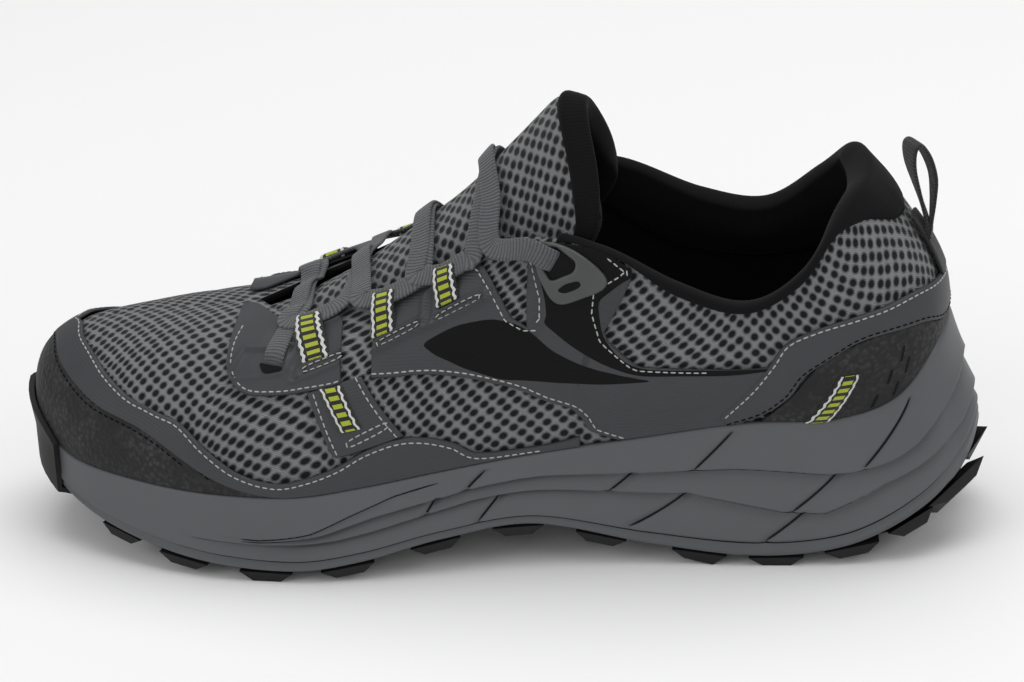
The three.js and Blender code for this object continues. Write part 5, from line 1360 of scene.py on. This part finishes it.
def strap(k, side):
    """Path and normals of the strap from eyelet k on one side to the next on the other side: its stops
    lie on the film at both ends and over the tongue between them. The first strap comes up out of its
    eyelet, the last goes down into the plate, and those of the inner side cross over the others."""
    (from_at, from_v), (to_at, to_v) = EYELETS[k], EYELETS[k + 1]
    first, last = k == 0, k == len(EYELETS) - 2
    on_top = 1.5 if side > 0 else 0.0

    def on(at, v, lift, way):
        turn, v = turn_at([at], way), np.array([v])
        return lay(turn, v, lift)[0], skin_normal(turn, v)[0]

    def across(share, lift):
        start, finish = on(leave, 0.99, 0, side)[0][0], on(arrive, 0.99, 0, -side)[0][0]
        return over_tongue(start + (finish - start) * share, side * (1 - 2 * share) * 0.8, lift)

    leave = from_at + 0.25 if first else from_at - 0.34
    arrive = to_at + (0.95 if last else 0.42)
    film = ON_FILM + 0.5 * LACE_THICK
    if first:
        stops = [on(from_at, from_v, film - 3.0, side), on(from_at + 0.03, from_v + 0.06, film + 0.7, side),
                 on(from_at + 0.15, 0.84, film + 0.5, side)]
    else:
        stops = [on(from_at, from_v, film + 0.25, side), on(from_at - 0.26, from_v + 0.02, film + 0.7, side)]
    stops.append(on(leave, 0.975, film + 0.2, side))
    for share, over in ((0.22, 0.9), (0.5, 0.8 + on_top), (0.78, 1.5)):
        stops.append(across(share, LACE_CLEAR + over))
    stops.append(on(arrive, 0.985, film + 1.0, -side))
    if last:
        stops.append(on(to_at + 0.38, 0.93, film + 2.4, -side))
        stops.append(on(to_at + 0.08, to_v + 0.01, film + 1.4, -side))
        stops.append(on(to_at - 0.06, to_v - 0.012, film - 3.2, -side))
    else:
        stops.append(on(to_at + 0.3, to_v + 0.02, film + 0.9, -side))
        stops.append(on(to_at, to_v, film + 0.25, -side))
    return np.array([p for p, _ in stops]), np.array([n for _, n in stops])


lace_finish = ribbed_tape("woven_lace", LACE_DARK, LACE_LIGHT, 1.05, 0.035)
laces = []
for k in range(len(EYELETS) - 1):
    for side, word in ((-1, "outer"), (1, "inner")):
        path, normals = strap(k, side)
        s = np.linspace(0, len(path) - 1, LACE_STEPS)
        far = spans(through(path, s), 0)
        even = np.interp(np.linspace(0, far[-1], LACE_STEPS), far, s)
        laces.append(ribbon(f"lace_{k}_{word}", through(path, even), unit(through(normals, even)),
                            LACE_WIDE, LACE_THICK, lace_finish))
dressed(laces[0], "lace", "lace")
for piece in laces[1:]:
    dressed(piece, "lace")

# Stitches: lockstitch in polyester thread, pale on the film's edges and black on the suede's.
# Each stitch is a short thread with pointed ends, sunk to half of its thickness.
THREAD_PALE = "#a9aaa5"
THREAD_BLACK = "#020203"
STITCH_PITCH = 2.35
STITCH_LONG = 1.75
STITCH_THICK = 0.55
STITCH_SIDES = 6
SEAM_PROUD = 0.02


def thread(name, colour, gloss):
    """Twisted polyester thread: satin, with a fine diagonal twist."""
    material, tree = finish_of(name, Base_Color=linear(colour), Roughness=0.6, Specular_IOR_Level=gloss)
    place = add(tree, "TexCoord").outputs["Object"]
    twist = add(tree, "TexWave", {"Vector": place, "Scale": 900.0, "Distortion": 1.0},
                bands_direction="DIAGONAL")
    bump = add(tree, "Bump", {"Height": twist.outputs["Fac"], "Strength": 0.4, "Distance": 0.0002})
    return wired(material, Normal=bump.outputs[0])


pale_thread = thread("pale_thread", THREAD_PALE, 0.5)
black_thread = thread("black_thread", THREAD_BLACK, 0.08)


def stitches(name, lines, material):
    """Object of stitches along lines: a line is (turns, heights, lift in mm). Each stitch is four
    rings of its thread, wide in its middle and sunk at both ends, round a line along the seam."""
    shape = np.array([(-0.5, 0.25, -0.3), (-0.3, 0.85, 0), (0.3, 0.85, 0), (0.5, 0.25, -0.3)])
    along, wide, sunk = shape.T[..., None]
    angle = np.linspace(0, 2 * np.pi, STITCH_SIDES, endpoint=False)
    half = STITCH_THICK / 2
    over = (np.sin(angle) * wide + sunk) * half
    rings = np.stack([along * STITCH_LONG + 0 * angle, np.cos(angle) * wide * half, over], -1)
    blocks = []
    for turn, v, lift in lines:
        row = straight(np.stack([turn, v], 1), np.linspace(0, len(turn) - 1, 40 * len(turn)))
        path = lay(row[:, 0], row[:, 1], lift)
        far = spans(path, 0)
        centres = np.arange(STITCH_PITCH / 2, far[-1], STITCH_PITCH)
        if len(centres) < 2:
            continue
        tangent = unit(straight(path, centres + 0.4, far) - straight(path, centres - 0.4, far))
        normal = skin_normal(*straight(row, centres, far).T)
        axes = np.stack([tangent, unit(np.cross(tangent, normal)), normal], 1)
        blocks.append(straight(path, centres, far)[:, None, None] + rings @ axes[:, None])
    points = np.vstack(blocks)
    size = rings.shape[0] * STITCH_SIDES
    faces = []
    for j in range(0, size - STITCH_SIDES, STITCH_SIDES):
        for i in range(STITCH_SIDES):
            a, b = j + i, j + (i + 1) % STITCH_SIDES
            faces.append((a, b, b + STITCH_SIDES, a + STITCH_SIDES))
    faces += [tuple(range(STITCH_SIDES - 1, -1, -1)), tuple(range(size - STITCH_SIDES, size))]
    corners = [tuple(size * n + c for c in face) for n in range(len(points)) for face in faces]
    mesh = bpy.data.meshes.new(name)
    mesh.from_pydata(((points.reshape(-1, 3) + origin) / 1000).tolist(), [], corners)
    mesh.polygons.foreach_set("use_smooth", np.ones(len(corners), bool))
    mesh.materials.append(material)
    piece = placed(name, mesh)
    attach(piece, "root")
    return piece


def seam(way, rows, edge, inset, over, first=0, last=None, smooth=True):
    """Stitch line on a strip's table: its low or high edge moved in by a distance in mm, square to
    the edge, and over the film by another."""
    rows = np.array(rows, float)[first:last]
    near, far = (rows[:, :2], rows[:, 2:]) if edge == "low" else (rows[:, 2:], rows[:, :2])
    s = np.linspace(0, len(near) - 1, 10 * len(near))
    line = through(near, s) if smooth else straight(near, s)
    across = straight(far - near, s) * SKIN_MM
    ahead = np.gradient(line * SKIN_MM, axis=0)
    square = unit(np.stack([-ahead[:, 1], ahead[:, 0]], 1))
    line = line + square * np.sign((square * across).sum()) * inset / SKIN_MM
    return turn_at(line[:, 0], way), line[:, 1], ON_FILM + SEAM_PROUD + over


def oval(station, v, half_long, half_wide, lean, way, lift):
    """Stitch line round a narrow oval that leans along the eyestay."""
    t = np.linspace(0, 2 * np.pi, 33)
    x = half_long * signed_power(np.cos(t), 0.6)
    y = half_wide * signed_power(np.sin(t), 0.6)
    at = station - (x * math.cos(lean) - y * math.sin(lean)) / STATION_MM
    high = v + (x * math.sin(lean) + y * math.cos(lean)) / V_MM
    return turn_at(at, way), high, lift


# Seams: table, edge, distance in from it, height over the film, first and last row, rows blended
PALE_SEAMS = [
    (QUARTER, "low", 1.5, 0, 2, None, False), (QUARTER, "high", 1.5, 0.08, 1, 9, False),
    (QUARTER, "high", 1.5, 0.08, 10, 15, False), (QUARTER, "high", 1.5, 0, 14, 20, False),
    (FRONT_TAB, "low", 1.4, TAB_OVER), (TOE_TRIM, "high", 1.5, OVER, 1), (HEEL_COUNTER, "high", 1.4, OVER)]
BLACK_SEAMS = [(HEEL_COUNTER, "low", 1.4, OVER), (TOE_CAP, "high", 1.4, 0, 1), (TOE_CAP, "high", 3.4, 0, 2)]
STRAP_OVAL = (7.92, 0.215, 6.0, 1.4, 0.35)
PATCH_INSET = 0.08
pale_lines, black_lines = [], []
for way in both:
    pale_lines += [seam(way, *row) for row in PALE_SEAMS]
    black_lines += [seam(way, *row) for row in BLACK_SEAMS]
    for station, v, half_long, half_wide, lean in FRAMES[:3]:
        lift = ON_FILM + SEAM_PROUD + (TAB_OVER if station > FRONT_TAB[0][0] else 0.0)
        pale_lines.append(oval(station, v, half_long - 1.5, half_wide - 1.3, lean, way, lift))
    on_patch = LAYER_ONE + PATCH_THICK + SEAM_PROUD
    pale_lines.append(oval(*STRAP_OVAL, way, on_patch))
    for row, inward in ((STRAP_PATCH[0], PATCH_INSET), (STRAP_PATCH[-1], -PATCH_INSET)):
        ends = np.array([row[:2], row[2:]]) + [inward, 0]
        pale_lines.append((turn_at(ends[:, 0], way), ends[:, 1], on_patch))
stitches("pale_stitches", pale_lines, pale_thread)
stitches("black_stitches", black_lines, black_thread)
